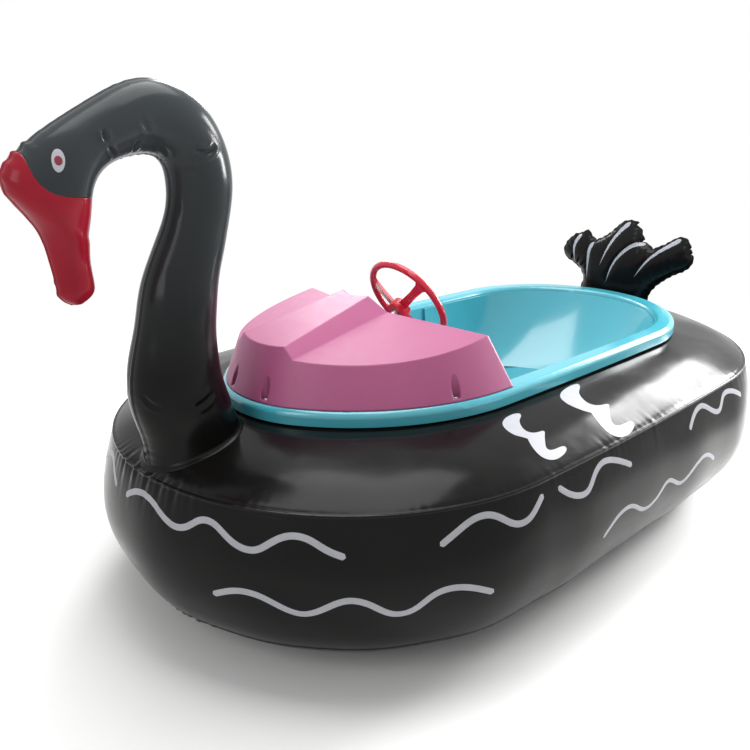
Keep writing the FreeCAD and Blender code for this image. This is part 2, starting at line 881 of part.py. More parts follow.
def button_place():
    """Centre of the start button on the dash face."""
    face_up = Vector(0, 1, 0).cross(column_axis)
    return apex + column_axis * dash_distance() + face_up * button_up + Vector(0, button_y, 0)


def dash_distance():
    """Distance from the apex, along the column, to the dash face."""
    face_point = Vector(spine_top.x, 0, spine_top.z)
    return (face_point - apex).dot(column_axis)


# Radii that follow from the shafts
bush_outer = column_radius + run_gap + bush_wall
pod_bush_outer = pod_shaft_radius + run_gap + bush_wall
housing_radius = pod_bush_outer + housing_wall


def hexagon(flat_radius, height):
    """Hexagonal prism on Z, from half its width across flats."""
    reach = flat_radius / math.cos(math.pi / 6)
    corners = []
    for index in range(6):
        angle = index * math.pi / 3
        corners.append(Vector(reach * math.cos(angle), reach * math.sin(angle), 0))
    return Part.Face(Part.makePolygon(corners + corners[:1])).extrude(up * height)


def screw(at, length):
    """Round-headed screw that points down, with its head standing on a point."""
    head = Part.makeCylinder(screw_head_radius, screw_head_height, at)
    head = head.makeFillet(screw_head_height / 2, [max(head.Edges, key=lambda edge: edge.CenterOfMass.z)])
    shank = Part.makeCylinder(screw_radius, length, at - up * length)
    slot = Part.makeBox(2 * screw_head_radius, screw_radius / 2, screw_head_height)
    slot.translate(at + Vector(-screw_head_radius, -screw_radius / 4, screw_head_height * 2 / 3))
    return head.cut(slot).fuse(shank)


# Steering wheel, seen from its own axis: Z runs out of the boat's dash
hub_top = column_length - wheel_dish + hub_height / 2
nut_foot = hub_top - nut_recess
nut_room_radius = wheel_nut_radius / math.cos(math.pi / 6) + fit_gap


def spoke(turn):
    """One spoke, dished towards the dash and flared where it meets the ring."""
    ring_centre = wheel_radius - wheel_ring_radius
    stations = (
        (hub_radius / 2, -wheel_dish, spoke_width),
        (ring_centre * 0.60, -wheel_dish * 0.42, spoke_width * 0.80),
        (ring_centre * 0.86, -wheel_dish * 0.10, spoke_width),
        (ring_centre, 0, spoke_width * 1.75),
    )
    wires = []
    for out, height, width in stations:
        low, high = height - spoke_thickness / 2, height + spoke_thickness / 2
        corners = [
            Vector(out, width / 2, low),
            Vector(out, width / 2, high),
            Vector(out, -width / 2, high),
            Vector(out, -width / 2, low),
        ]
        wires.append(Part.makePolygon(corners + corners[:1]))
    body = Part.makeLoft(wires, True, True)
    body.rotate(origin, up, turn)
    return body


def steering_wheel():
    """Dished wheel: round ring, three flared spokes and a drum hub."""
    wheel = Part.makeTorus(wheel_radius - wheel_ring_radius, wheel_ring_radius)
    foot = Vector(0, 0, -wheel_dish - hub_height / 2)
    hub = Part.makeCylinder(hub_radius, hub_height, foot)
    hub = hub.makeFillet(hub_radius / 8, [max(hub.Edges, key=lambda edge: edge.CenterOfMass.z)])
    wheel = wheel.fuse(hub)
    for index in range(spoke_count):
        wheel = wheel.fuse(spoke(180.0 / spoke_count + wheel_turned + 360.0 * index / spoke_count))
    bore = Part.makeCylinder(column_radius + run_gap, 2 * hub_height, foot - up * hub_height / 2)
    recess = Part.makeCylinder(nut_room_radius, overrun, foot + up * (hub_height - nut_recess))
    return on_column(wheel.cut(bore).cut(recess), column_length)


def wheel_nut():
    """Nut that holds the wheel on the end of the column."""
    nut = hexagon(wheel_nut_radius, wheel_nut_height)
    nut = nut.cut(Part.makeCylinder(column_thread_radius + run_gap, wheel_nut_height))
    return on_column(nut, nut_foot)


def hub_cap():
    """Domed cap over the nut."""
    edge = hub_cap_height / 3
    outline = Part.makePolygon([
        Vector(0, 0, hub_cap_height),
        origin,
        Vector(hub_cap_radius, 0, 0),
        Vector(hub_cap_radius, 0, edge),
    ])
    crown = dome(hub_cap_radius, edge, hub_cap_height)
    cap = turned(Part.Face(Part.Wire(outline.Edges + [crown])))
    room = Part.makeCylinder(nut_room_radius, wheel_nut_height - nut_recess + soft_gap)
    return on_column(cap.cut(room), hub_top)


def column_shaft():
    """Steel shaft from the gear to the wheel, with a thread for the nut."""
    shoulder = nut_foot - fit_gap
    shaft = Part.makeCylinder(column_radius, shoulder - gear_front, Vector(0, 0, gear_front))
    thread = Part.makeCylinder(column_thread_radius, wheel_nut_height + fit_gap, Vector(0, 0, shoulder))
    return on_column(shaft.fuse(thread), 0)


def shaft_collar():
    """Collar that keeps the column from sliding down through the dash."""
    collar = ring(collar_radius, column_radius + run_gap, collar_height)
    return on_column(collar, dash_distance() + bush_flange_height + fit_gap)


# Bevel gears, each with its apex at the origin and its axis on Z
gear_pitch_radius = gear_module * gear_teeth / 2
gear_cone = gear_pitch_radius / math.sin(math.radians(pitch_cone))
gear_inner_share = (gear_cone - gear_face) / gear_cone
gear_addendum = gear_module
gear_dedendum = gear_module * 1.25
cone_outward = Vector(math.sin(math.radians(pitch_cone)), 0, math.cos(math.radians(pitch_cone)))
cone_raised = Vector(cone_outward.z, 0, -cone_outward.x)
gear_root = cone_outward * gear_cone - cone_raised * gear_dedendum
gear_rear = gear_root - cone_raised * gear_rim
gear_front = gear_root.z * gear_inner_share
gear_end = gear_rear.z + gear_hub_height


def involute(angle):
    """Involute function of a pressure angle in radians."""
    return math.tan(angle) - angle


def tooth_wire(share):
    """Outline of one involute tooth, at a share of the way out from the apex."""
    virtual_radius = gear_pitch_radius / math.cos(math.radians(pitch_cone))
    pressure = math.radians(gear_pressure)
    base_radius = virtual_radius * math.cos(pressure)
    half_pitch = (math.pi * gear_module / 2 - gear_backlash) / (2 * virtual_radius)
    heights = (
        -gear_dedendum - gear_backlash,
        base_radius - virtual_radius,
        0.0,
        gear_addendum / 2,
        gear_addendum,
    )
    flank = []
    for height in heights:
        radius = virtual_radius + height
        here = math.acos(min(1.0, base_radius / radius))
        half = half_pitch + involute(pressure) - involute(here)
        flank.append((radius * math.sin(half), radius * math.cos(half) - virtual_radius))
    points = [(width, height) for width, height in flank]
    points += [(-width, height) for width, height in reversed(flank)]
    centre = cone_outward * gear_cone
    corners = [(centre + cone_raised * height + Vector(0, width, 0)) * share for width, height in points]
    return Part.makePolygon(corners + corners[:1])


def bevel_gear(bore_radius, phase):
    """Straight-toothed bevel gear with a hub behind it."""
    inner_root = gear_root * gear_inner_share
    gear = turned(polygon((
        (bore_radius, inner_root.z),
        (inner_root.x, inner_root.z),
        (gear_root.x, gear_root.z),
        (gear_rear.x, gear_rear.z),
        (gear_hub_radius, gear_rear.z),
        (gear_hub_radius, gear_end),
        (bore_radius, gear_end),
    )))
    tooth = Part.makeLoft([tooth_wire(1.0), tooth_wire(gear_inner_share)], True, True)
    teeth = []
    for index in range(gear_teeth):
        copy = tooth.copy()
        copy.rotate(origin, up, phase + 360.0 * index / gear_teeth)
        teeth.append(copy)
    return gear.multiFuse(teeth)


def column_gear():
    """Gear on the column, with a tooth on the line where the cones meet."""
    return on_column(bevel_gear(column_radius + run_gap, 0), 0)


def pod_gear():
    """Gear on the pod shaft, with a gap on the line where the cones meet."""
    gear = bevel_gear(pod_shaft_radius + run_gap, 180.0 / gear_teeth).mirror(origin, up)
    gear.translate(apex)
    return gear


# Column bushes and the bracket on the well roof
def column_bush_upper():
    """Flanged bush in the dash."""
    bush = ring(bush_outer, column_radius + run_gap, bush_length)
    flange = ring(bush_outer + bush_flange, column_radius + run_gap, bush_flange_height, bush_length)
    return on_column(bush.fuse(flange), dash_distance() - bush_length)


def column_bush_lower():
    """Plain bush in the bracket."""
    bush = ring(bush_outer, column_radius + run_gap, bush_length)
    return on_column(bush, bracket_distance - bush_length / 2)


bracket_x = (apex + column_axis * bracket_distance).x


def bracket_screw_places():
    """Screws of the bracket's foot, at its four corners."""
    along = bracket_foot_length / 2 - screw_head_radius - fit_gap
    side = bracket_foot_width / 2 - screw_head_radius - fit_gap
    top = roof_top_z + bracket_foot_height
    return [Vector(bracket_x + a * along, b * side, top) for a in (-1, 1) for b in (-1, 1)]


def column_bracket():
    """Cast bracket: foot, web with a cross rib, and a boss for the bush."""
    low = bracket_distance - bush_length / 2
    boss = on_column(Part.makeCylinder(bush_outer + bracket_boss_wall, bush_length), low)
    foot = Part.makeBox(bracket_foot_length, bracket_foot_width, bracket_foot_height)
    foot.translate(Vector(bracket_x - bracket_foot_length / 2, -bracket_foot_width / 2, roof_top_z))
    reach = (bracket_foot_length - bracket_web) / 2
    near, far = apex + column_axis * low, apex + column_axis * (low + bush_length)
    web = polygon((
        (bracket_x - reach, roof_top_z),
        (bracket_x + reach, roof_top_z),
        (near.x, near.z),
        (far.x, far.z),
    ))
    web.translate(Vector(0, -bracket_web / 2, 0))
    web = web.extrude(Vector(0, bracket_web, 0))
    rib_side = bracket_foot_width / 2 - bracket_web / 2
    rib_top = roof_top_z + (near.z - roof_top_z) * 0.7
    corners = [
        Vector(bracket_x - bracket_web / 2, -rib_side, roof_top_z),
        Vector(bracket_x - bracket_web / 2, rib_side, roof_top_z),
        Vector(bracket_x - bracket_web / 2, bracket_web / 2, rib_top),
        Vector(bracket_x - bracket_web / 2, -bracket_web / 2, rib_top),
    ]
    rib = Part.Face(Part.makePolygon(corners + corners[:1])).extrude(Vector(bracket_web / 2, 0, 0))
    bracket = foot.fuse(web).fuse(rib).fuse(boss)
    bore = Part.makeCylinder(bush_outer + run_gap, 3 * bush_length)
    bracket = bracket.cut(on_column(bore, low - bush_length))
    for at in bracket_screw_places():
        bracket = bracket.cut(hole(at.x, at.y, at.z))
        seat = Part.makeCylinder(screw_head_radius + fit_gap, screw_head_height * 2, at)
        bracket = bracket.cut(seat)
    return bracket


def bracket_screws():
    """Screws through the bracket's foot and the well roof."""
    return Part.makeCompound([screw(at, bracket_foot_height + hull_wall) for at in bracket_screw_places()])


# Pod shaft in its housing. The shaft turns on two bushes and rests on a washer.
housing_foot_z = well_roof_z - seal_height
housing_top_z = apex.z - gear_end - washer_height - soft_gap


def at_pod(shape):
    """Copy of a shape on Z, moved onto the pod shaft's axis."""
    copy = shape.copy()
    copy.translate(Vector(apex.x, 0, 0))
    return copy


def housing_screw_places():
    """Screws of the housing's flange, evenly round it."""
    places = []
    for index in range(housing_screw_count):
        angle = 2 * math.pi * (index + 0.5) / housing_screw_count
        x = apex.x + housing_screw_circle * math.cos(angle)
        places.append(Vector(x, housing_screw_circle * math.sin(angle), roof_top_z + housing_flange_height))
    return places


def pod_bearing_housing():
    """Flanged tube through the well roof, stiffened by gussets."""
    foot = Vector(0, 0, housing_foot_z)
    body = Part.makeCylinder(housing_radius, housing_top_z - housing_foot_z, foot)
    flange_foot = Vector(0, 0, roof_top_z)
    body = body.fuse(Part.makeCylinder(housing_flange_radius, housing_flange_height, flange_foot))
    flange_top = roof_top_z + housing_flange_height
    out = housing_flange_radius - housing_flange_height
    gusset = polygon((
        (housing_radius - fit_gap, flange_top - fit_gap),
        (out, flange_top - fit_gap),
        (housing_radius - fit_gap, flange_top + housing_flange_radius),
    ))
    gusset.translate(Vector(0, -housing_wall / 2, 0))
    gusset = gusset.extrude(Vector(0, housing_wall, 0))
    for index in range(housing_screw_count):
        copy = gusset.copy()
        copy.rotate(origin, up, 360.0 * index / housing_screw_count)
        body = body.fuse(copy)
    body = body.cut(Part.makeCylinder(pod_bush_outer + run_gap, 2 * housing_top_z))
    body = at_pod(body)
    for at in housing_screw_places():
        body = body.cut(hole(at.x, at.y, at.z))
    return body


def housing_screws():
    """Screws through the housing's flange and the well roof."""
    length = housing_flange_height + hull_wall
    return Part.makeCompound([screw(at, length) for at in housing_screw_places()])


def pod_ring(outer, height, z):
    """Ring that runs on the pod shaft, with its foot at z."""
    return at_pod(ring(outer, pod_shaft_radius + run_gap, height, z))


def pod_shaft():
    """Hollow shaft from the socket in the pod's neck up to the gear."""
    foot_z = pod_neck_top_z - pod_socket_depth + fit_gap
    return at_pod(ring(pod_shaft_radius, pod_shaft_bore, apex.z - gear_front - foot_z, foot_z))


# Motor pod: everything lies along X and is measured from the pod shaft's axis
def on_pod(shape):
    """Copy of a shape built on Z, laid along X through the pod."""
    return lying(shape, Vector(apex.x, 0, pod_z), Vector(1, 0, 0))


def motor_pod():
    """Watertight motor casing with a rounded nose and a neck for the shaft."""
    nose_tip = pod_front + pod_nose
    nose = dome(pod_radius, pod_front, nose_tip)
    outline = Part.makePolygon([
        Vector(0, 0, nose_tip),
        Vector(0, 0, -pod_rear),
        Vector(pod_radius, 0, -pod_rear),
        Vector(pod_radius, 0, pod_front),
    ])
    casing = on_pod(turned(Part.Face(Part.Wire(outline.Edges + [nose]))))
    neck = Part.makeCylinder(pod_neck_radius, pod_neck_top_z - pod_z, Vector(apex.x, 0, pod_z))
    casing = casing.fuse(neck)
    room_length = pod_front + pod_rear + overrun
    room = Part.makeCylinder(pod_radius - pod_wall, room_length, Vector(0, 0, -pod_rear - overrun))
    casing = casing.cut(on_pod(room))
    socket_z = pod_neck_top_z - pod_socket_depth
    socket_length = pod_socket_depth + overrun
    socket = Part.makeCylinder(pod_shaft_radius + run_gap, socket_length, Vector(apex.x, 0, socket_z))
    return casing.cut(socket)


def pod_end_cap():
    """Cap that closes the casing and carries the propeller shaft."""
    cap = Part.makeCylinder(pod_radius, pod_cap_length, Vector(0, 0, -pod_rear - pod_cap_length))
    spigot = Part.makeCylinder(pod_radius - pod_wall - pin_gap, pod_spigot_length, Vector(0, 0, -pod_rear))
    bore = Part.makeCylinder(prop_shaft_radius + run_gap, 2 * pod_rear, Vector(0, 0, -2 * pod_rear))
    return on_pod(cap.fuse(spigot).cut(bore))


def drive_motor():
    """Sealed motor that fills the casing."""
    rear = -pod_rear + pod_spigot_length + fit_gap
    radius = pod_radius - pod_wall - fit_gap
    body = Part.makeCylinder(radius, pod_front - fit_gap - rear, Vector(0, 0, rear))
    bore_length = motor_bore_depth + overrun
    bore = Part.makeCylinder(prop_shaft_radius + run_gap, bore_length, Vector(0, 0, rear - overrun))
    return on_pod(body.cut(bore))


prop_hub_front = -prop_plane + prop_hub_length / 2
prop_hub_rear = -prop_plane - prop_hub_length / 2


def prop_shaft():
    """Shaft from inside the motor to the end of the propeller's nut."""
    front = -pod_rear + pod_spigot_length + motor_bore_depth
    rear = prop_hub_rear - prop_nut_length
    return on_pod(Part.makeCylinder(prop_shaft_radius, front - rear, Vector(0, 0, rear)))


def blade_wire(station):
    """Section of a blade: two arcs across a plane square to the blade."""
    out, chord, pitch, thickness = station
    angle = math.radians(pitch)
    along = Vector(0, math.cos(angle), math.sin(angle)) * (chord * prop_radius / 2)
    across = Vector(0, -math.sin(angle), math.cos(angle)) * prop_radius
    centre = Vector(out * prop_radius, 0, -prop_plane)
    half = across * (thickness / 2)
    bow = across * blade_camber_share
    face = Part.Arc(centre - along, centre + half + bow, centre + along).toShape()
    back = Part.Arc(centre + along, centre - half + bow, centre - along).toShape()
    return Part.Wire([face, back])


def propeller():
    """Hub with twisted, cambered blades."""
    prop = Part.makeCylinder(prop_hub_radius, prop_hub_length, Vector(0, 0, prop_hub_rear))
    blade = Part.makeLoft([blade_wire(station) for station in blade_station_shares], True, False)
    for index in range(blade_count):
        copy = blade.copy()
        copy.rotate(origin, up, 360.0 * index / blade_count)
        prop = prop.fuse(copy)
    bore = Part.makeCylinder(prop_shaft_radius + run_gap, 2 * prop_plane, Vector(0, 0, -2 * prop_plane))
    return on_pod(prop.cut(bore))


def prop_nut():
    """Nut behind the propeller."""
    nut = hexagon(prop_nut_radius, prop_nut_length)
    nut = nut.cut(Part.makeCylinder(prop_shaft_radius + run_gap, prop_nut_length))
    nut.translate(Vector(0, 0, prop_hub_rear - prop_nut_length))
    return on_pod(nut)


def prop_guard():
    """Guard ring on radial struts, clamped round the casing."""
    inner = prop_radius + guard_gap
    outer = inner + guard_wall
    rear = prop_hub_rear - guard_wall
    guard = ring(outer, inner, guard_length, rear)
    clamp_rear = -pod_rear - pod_cap_length
    clamp = ring(pod_radius + guard_clamp_wall, pod_radius + pin_gap, guard_clamp_length, clamp_rear)
    guard = guard.fuse(clamp)
    start = pod_radius + guard_clamp_wall / 2
    for index in range(guard_strut_count):
        strut = Part.makeBox(inner + guard_wall / 2 - start, guard_strut_width, guard_strut_width)
        strut.translate(Vector(start, -guard_strut_width / 2, clamp_rear))
        strut.rotate(origin, up, 360.0 * index / guard_strut_count)
        guard = guard.fuse(strut)
    return on_pod(guard)


# Battery bay
def battery():
    """Sealed battery case with a stepped lid."""
    case = Part.makeBox(battery_length, battery_width, battery_height)
    upright = [edge for edge in case.Edges if edge.BoundBox.ZLength > battery_height / 2]
    case = case.makeFillet(hull_wall, upright)
    groove = Part.makeBox(battery_length, battery_width, strap_thickness)
    core = Part.makeBox(battery_length - strap_thickness, battery_width - strap_thickness, strap_thickness)
    core.translate(Vector(strap_thickness / 2, strap_thickness / 2, 0))
    groove = groove.cut(core)
    groove.translate(Vector(0, 0, battery_height * 0.82))
    case = case.cut(groove)
    case.translate(Vector(battery_x - battery_length / 2, -battery_width / 2, hull_floor_z))
    return case


def battery_terminals():
    """Two posts on the battery's lid."""
    posts = []
    for side in (-1, 1):
        at = Vector(battery_x + side * battery_length * 0.38, battery_width / 4, hull_floor_z + battery_height)
        posts.append(Part.makeCylinder(terminal_radius, terminal_height, at))
    return Part.makeCompound(posts)


def battery_strap():
    """Steel strap bent over the battery, with a foot on each side."""
    inside = battery_width / 2 + fit_gap
    outside = inside + strap_thickness
    top = battery_height + fit_gap
    half = (
        (inside, 0),
        (outside + strap_foot, 0),
        (outside + strap_foot, strap_thickness),
        (outside, strap_thickness),
        (outside, top + strap_thickness),
    )
    left = [Vector(0, side, z) for side, z in half]
    right = [Vector(0, -side, z) for side, z in reversed(half)]
    inner = [Vector(0, -inside, top), Vector(0, inside, top)]
    corners = left + right + inner
    strap = Part.Face(Part.makePolygon(corners + corners[:1])).extrude(Vector(strap_width, 0, 0))
    strap.translate(Vector(battery_x - strap_width / 2, 0, hull_floor_z))
    return strap


def controller_box():
    """Motor controller with cooling fins and two feet."""
    body = Part.makeBox(controller_length, controller_width, controller_height - controller_fin_height)
    foot_length = controller_length + 2 * controller_foot
    foot = Part.makeBox(foot_length, controller_width / 2, controller_foot_height)
    foot.translate(Vector(-controller_foot, controller_width / 4, 0))
    body = body.fuse(foot)
    pitch = (controller_width - controller_fin_width) / (controller_fin_count - 1)
    for index in range(controller_fin_count):
        fin = Part.makeBox(controller_length, controller_fin_width, controller_height)
        fin.translate(Vector(0, index * pitch, 0))
        body = body.fuse(fin)
    low_y = controller_y - controller_width / 2
    body.translate(Vector(battery_x - controller_length / 2, low_y, hull_floor_z))
    return body


# Pedal: hinge on Y, plate rising towards the bow
pedal_pin_at = Vector(pedal_x, pedal_y, pedal_pin_z)
knuckle_radius = pedal_pin_radius + pedal_knuckle
ear_inner = pedal_width / 2 + fit_gap


def rod(radius, half, other):
    """Round bar along Y between two places."""
    return Part.makeCylinder(radius, other - half, Vector(0, half, 0), Vector(0, 1, 0))


def pedal():
    """Tread plate on two hinge knuckles."""
    plate = Part.makeBox(pedal_length + knuckle_radius, pedal_width, pedal_thickness)
    plate.translate(Vector(-knuckle_radius, -pedal_width / 2, knuckle_radius))
    upright = [edge for edge in plate.Edges if edge.BoundBox.ZLength > pedal_thickness / 2]
    corners = [edge for edge in upright if edge.CenterOfMass.x > 0]
    plate = plate.makeFillet(knuckle_radius, corners)
    for index in range(pedal_tread_count):
        along = pedal_length * (index + 1) / (pedal_tread_count + 1)
        tread = rod(pedal_tread_height, -pedal_width * 0.4, pedal_width * 0.4)
        tread.translate(Vector(along, 0, knuckle_radius + pedal_thickness))
        plate = plate.fuse(tread)
    for side in (-1, 1):
        near, far = sorted((side * pedal_width / 2, side * (pedal_width / 2 - pedal_knuckle_length)))
        block = Part.makeBox(2 * knuckle_radius, far - near, knuckle_radius + fit_gap)
        block.translate(Vector(-knuckle_radius, near, 0))
        plate = plate.fuse(block).fuse(rod(knuckle_radius, near, far))
    plate = plate.cut(rod(pedal_pin_radius + run_gap, -pedal_width, pedal_width))
    plate.rotate(origin, Vector(0, 1, 0), -pedal_angle)
    plate.translate(pedal_pin_at)
    return plate


def pedal_bracket():
    """Base on the cockpit floor with an ear on each side of the pedal."""
    ear_outer = ear_inner + pedal_ear
    base = Part.makeBox(pedal_length, 2 * ear_outer, pedal_base_height)
    base.translate(Vector(-2 * knuckle_radius, -ear_outer, hull_floor_z - pedal_pin_z))
    for side in (-1, 1):
        near, far = sorted((side * ear_inner, side * ear_outer))
        ear = rod(knuckle_radius, near, far)
        post = Part.makeBox(2 * knuckle_radius, pedal_ear, pedal_pin_z - hull_floor_z)
        post.translate(Vector(-knuckle_radius, near, hull_floor_z - pedal_pin_z))
        base = base.fuse(ear).fuse(post)
    base = base.cut(rod(pedal_pin_radius + run_gap, -pedal_width, pedal_width))
    base.translate(pedal_pin_at)
    return base


def pedal_pin():
    """Hinge pin through the ears and the knuckles, with a head at each end."""
    reach = ear_inner + pedal_ear
    pin = rod(pedal_pin_radius, -reach, reach)
    for near, far in ((-reach - pedal_ear / 2, -reach), (reach, reach + pedal_ear / 2)):
        pin = pin.fuse(rod(pedal_pin_radius * 1.5, near, far))
    pin.translate(pedal_pin_at)
    return pin


def pedal_spring():
    """Torsion spring round the pin, one leg under the plate, one on the base."""
    mean = knuckle_radius - fit_gap - spring_wire / 2
    start = math.radians(90 + pedal_angle - pedal_travel)
    stop = math.radians(270 - spring_leg_fall) + 2 * math.pi * spring_turns
    turn = stop - start
    quarters = math.ceil(turn / (math.pi / 2))
    rise = spring_pitch * turn / (2 * math.pi)

    def place(share):
        angle = start + turn * share
        return Vector(mean * math.cos(angle), (share - 0.5) * rise, mean * math.sin(angle))

    first = Vector(math.sin(start), 0, -math.cos(start))
    last = Vector(-math.sin(stop), 0, math.cos(stop))
    edges = [Part.makeLine(place(0) + first * spring_leg, place(0))]
    for index in range(quarters):
        points = [place((index + part) / quarters) for part in (0, 0.5, 1)]
        edges.append(Part.Arc(*points).toShape())
    edges.append(Part.makeLine(place(1), place(1) + last * spring_leg))
    circle = Part.Circle(place(0) + first * spring_leg, first, spring_wire / 2)
    spring = Part.Wire(edges).makePipeShell([Part.Wire(circle.toShape())], True, False)
    spring.translate(pedal_pin_at)
    reach = spring_leg / math.pi
    path = [place(0) + first * reach * step for step in (3, 2, 1)]
    samples = quarters * spring_samples_count
    path += [place(step / samples) for step in range(samples + 1)]
    path += [place(1) + last * reach * step for step in (1, 2, 3)]
    apart = 2 * spring_samples_count
    gaps = [(a - b).Length for index, a in enumerate(path) for b in path[index + apart:]]
    print("pedal spring, least gap to itself in mm: %.2f" % (min(gaps) - spring_wire))
    return spring


# Start button on the dash
def button_housing():
    """Bezel on the dash and the switch body behind it."""
    body = Part.makeCylinder(switch_radius, switch_depth, Vector(0, 0, -switch_depth))
    body = body.fuse(Part.makeCylinder(bezel_radius, bezel_height))
    well = button_depth + button_travel + fit_gap
    body = body.cut(Part.makeCylinder(button_radius + run_gap, well + overrun, Vector(0, 0, -well)))
    return lying(body, button_place(), column_axis)


def start_button():
    """Round button with a softened top edge."""
    button = Part.makeCylinder(button_radius, button_depth + button_height, Vector(0, 0, -button_depth))
    button = button.makeFillet(button_travel / 2, [max(button.Edges, key=lambda edge: edge.CenterOfMass.z)])
    return lying(button, button_place(), column_axis)


def drain_plug():
    """Plug screwed in from below."""
    foot = Vector(plug_x, 0, hull_bottom_z - plug_head_height)
    head = Part.makeCylinder(plug_head_radius, plug_head_height, foot)
    grip = Part.makeBox(2 * plug_head_radius, plug_head_height / 2, plug_head_height / 2)
    grip.translate(foot - Vector(plug_head_radius, plug_head_height / 4, 0))
    shank = Part.makeCylinder(plug_radius, hull_wall, Vector(plug_x, 0, hull_bottom_z))
    return head.cut(grip).fuse(shank)


# Air valves: a pad welded to each air-filled piece, and its cap
def valve_places():
    """Centre of each pad's face and its outward direction: tube, neck, tail."""
    inset = tube_valve_inset_share * tube_depth
    tube_top = tube_valve_height_share * tube_height + valve_height
    on_tube = Vector(tube_valve_x, -plan_side(tube_plan, tube_valve_x, inset), tube_top)
    forward, rise, heading, depth, breadth = neck_station_shares[neck_valve_after_count]
    on_neck = neck_point(forward, rise) - Vector(0, breadth * neck_girth + valve_height, 0)
    tail_z = tube_height + tail_valve_share * tail_height
    on_tail = Vector(tail_x - tail_half_thickness - valve_height, 0, tail_z)
    return [(on_tube, up), (on_neck, Vector(0, -1, 0)), (on_tail, Vector(-1, 0, 0))]


def air_valves(forms):
    """The pads, cut to lie on the forms that carry them."""
    pads = []
    for (at, outward), form in zip(valve_places(), forms):
        pad = Part.makeCylinder(valve_radius, valve_seat_depth, Vector(0, 0, -valve_seat_depth))
        carrier = form.copy()
        carrier.translate(outward * soft_gap)
        pads.append(lying(pad, at, outward).cut(carrier))
    return Part.makeCompound([max(pad.Solids, key=lambda solid: solid.Volume) for pad in pads])


def valve_caps():
    """A ribbed cap on each pad."""
    caps = []
    for at, outward in valve_places():
        cap = Part.makeCylinder(valve_cap_radius, valve_cap_height)
        cap = cap.makeFillet(valve_cap_height / 4, [max(cap.Edges, key=lambda edge: edge.CenterOfMass.z)])
        caps.append(lying(cap, at, outward))
    return Part.makeCompound(caps)


tube = air_tube()
resting = grown_tube()
form = neck_form()
space = beak_space()
neck = form.cut(space).cut(resting)
tail = tail_fan(resting)
save(tube, "air_tube")
save(neck, "neck_head")
save(form.common(space), "beak")
save(tail, "tail_fan")
save(air_valves((tube, neck, tail)), "air_valves")
save(valve_caps(), "valve_caps")

save(hull_tub(), "hull_tub")
save(motor_well(), "motor_well")
save(seat_moulding(), "seat_moulding")
save(hood(), "hood")
save(hood_screws(), "hood_screws")
save(drain_plug(), "drain_plug")

save(steering_wheel(), "steering_wheel")
save(wheel_nut(), "wheel_nut")
save(hub_cap(), "hub_cap")
save(column_shaft(), "column_shaft")
save(shaft_collar(), "shaft_collar")
save(column_gear(), "column_gear")
save(column_bush_upper(), "column_bush_upper")
save(column_bush_lower(), "column_bush_lower")
save(column_bracket(), "column_bracket")
save(bracket_screws(), "bracket_screws")
save(button_housing(), "button_housing")
save(start_button(), "start_button")

save(pod_gear(), "pod_gear")
save(pod_shaft(), "pod_shaft")
save(pod_ring(washer_radius, washer_height, housing_top_z + soft_gap), "thrust_washer")
save(pod_bearing_housing(), "pod_bearing_housing")
save(housing_screws(), "housing_screws")
save(pod_ring(pod_bush_outer, bush_length, housing_top_z - bush_length), "pod_bush_upper")
save(pod_ring(pod_bush_outer, bush_length, housing_foot_z + seal_height), "pod_bush_lower")
save(pod_ring(pod_bush_outer, seal_height, housing_foot_z), "shaft_seal")
save(pod_ring(washer_radius, collar_height, housing_foot_z - soft_gap - collar_height), "pod_collar")
save(motor_pod(), "motor_pod")
save(pod_end_cap(), "pod_end_cap")
save(drive_motor(), "drive_motor")
save(prop_guard(), "prop_guard")
save(prop_shaft(), "prop_shaft")
save(propeller(), "propeller")
save(prop_nut(), "prop_nut")

save(battery(), "battery")
save(battery_terminals(), "battery_terminals")
save(battery_strap(), "battery_strap")
save(controller_box(), "controller_box")

save(pedal_bracket(), "pedal_bracket")
save(pedal(), "pedal")
save(pedal_pin(), "pedal_pin")
save(pedal_spring(), "pedal_spring")
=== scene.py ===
# %% [markdown]
# # A bumper boat with a swan's neck
#
# The boat is an air-filled ring of black coated fabric round a moulded
# cockpit. Its neck, beak and tail are air-filled too, and the hood, the
# wheel and the motor pod are rigid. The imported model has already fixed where
# each piece is and how it moves. What is left to do here is what the eye
# meets first: swollen skins, welded seams, printed marks and finishes.
#
# Sizes are in metres unless a name says otherwise. +X is the bow, +Y is port
# and +Z is up.

import json
import math

import bmesh
import bpy
import numpy as np
from mathutils import Matrix, Vector, geometry
from mathutils.bvhtree import BVHTree


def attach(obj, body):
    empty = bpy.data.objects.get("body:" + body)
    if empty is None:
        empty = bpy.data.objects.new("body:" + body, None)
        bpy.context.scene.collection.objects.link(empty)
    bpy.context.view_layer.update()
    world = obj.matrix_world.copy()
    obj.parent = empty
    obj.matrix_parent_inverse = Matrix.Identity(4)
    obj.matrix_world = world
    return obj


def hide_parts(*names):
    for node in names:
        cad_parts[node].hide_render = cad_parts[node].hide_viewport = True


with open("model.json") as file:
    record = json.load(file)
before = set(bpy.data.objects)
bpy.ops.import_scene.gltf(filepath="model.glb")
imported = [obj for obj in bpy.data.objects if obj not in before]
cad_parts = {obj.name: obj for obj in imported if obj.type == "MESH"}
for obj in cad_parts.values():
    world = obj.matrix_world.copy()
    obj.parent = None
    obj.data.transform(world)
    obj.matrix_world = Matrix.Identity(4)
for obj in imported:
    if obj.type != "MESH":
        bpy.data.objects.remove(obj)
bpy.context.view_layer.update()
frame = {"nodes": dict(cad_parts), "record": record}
scene = bpy.context.scene
MM = 0.001

# %% [markdown]
# ## The camera
#
# A photograph fixes its own camera: straight things in it, such as the rim
# and the seams, only line up from one place. This camera was found by
# trying places until the rim, the seams, the wheel and the tail all fell on
# their pixels. Places on the skins are picked later through the same camera.

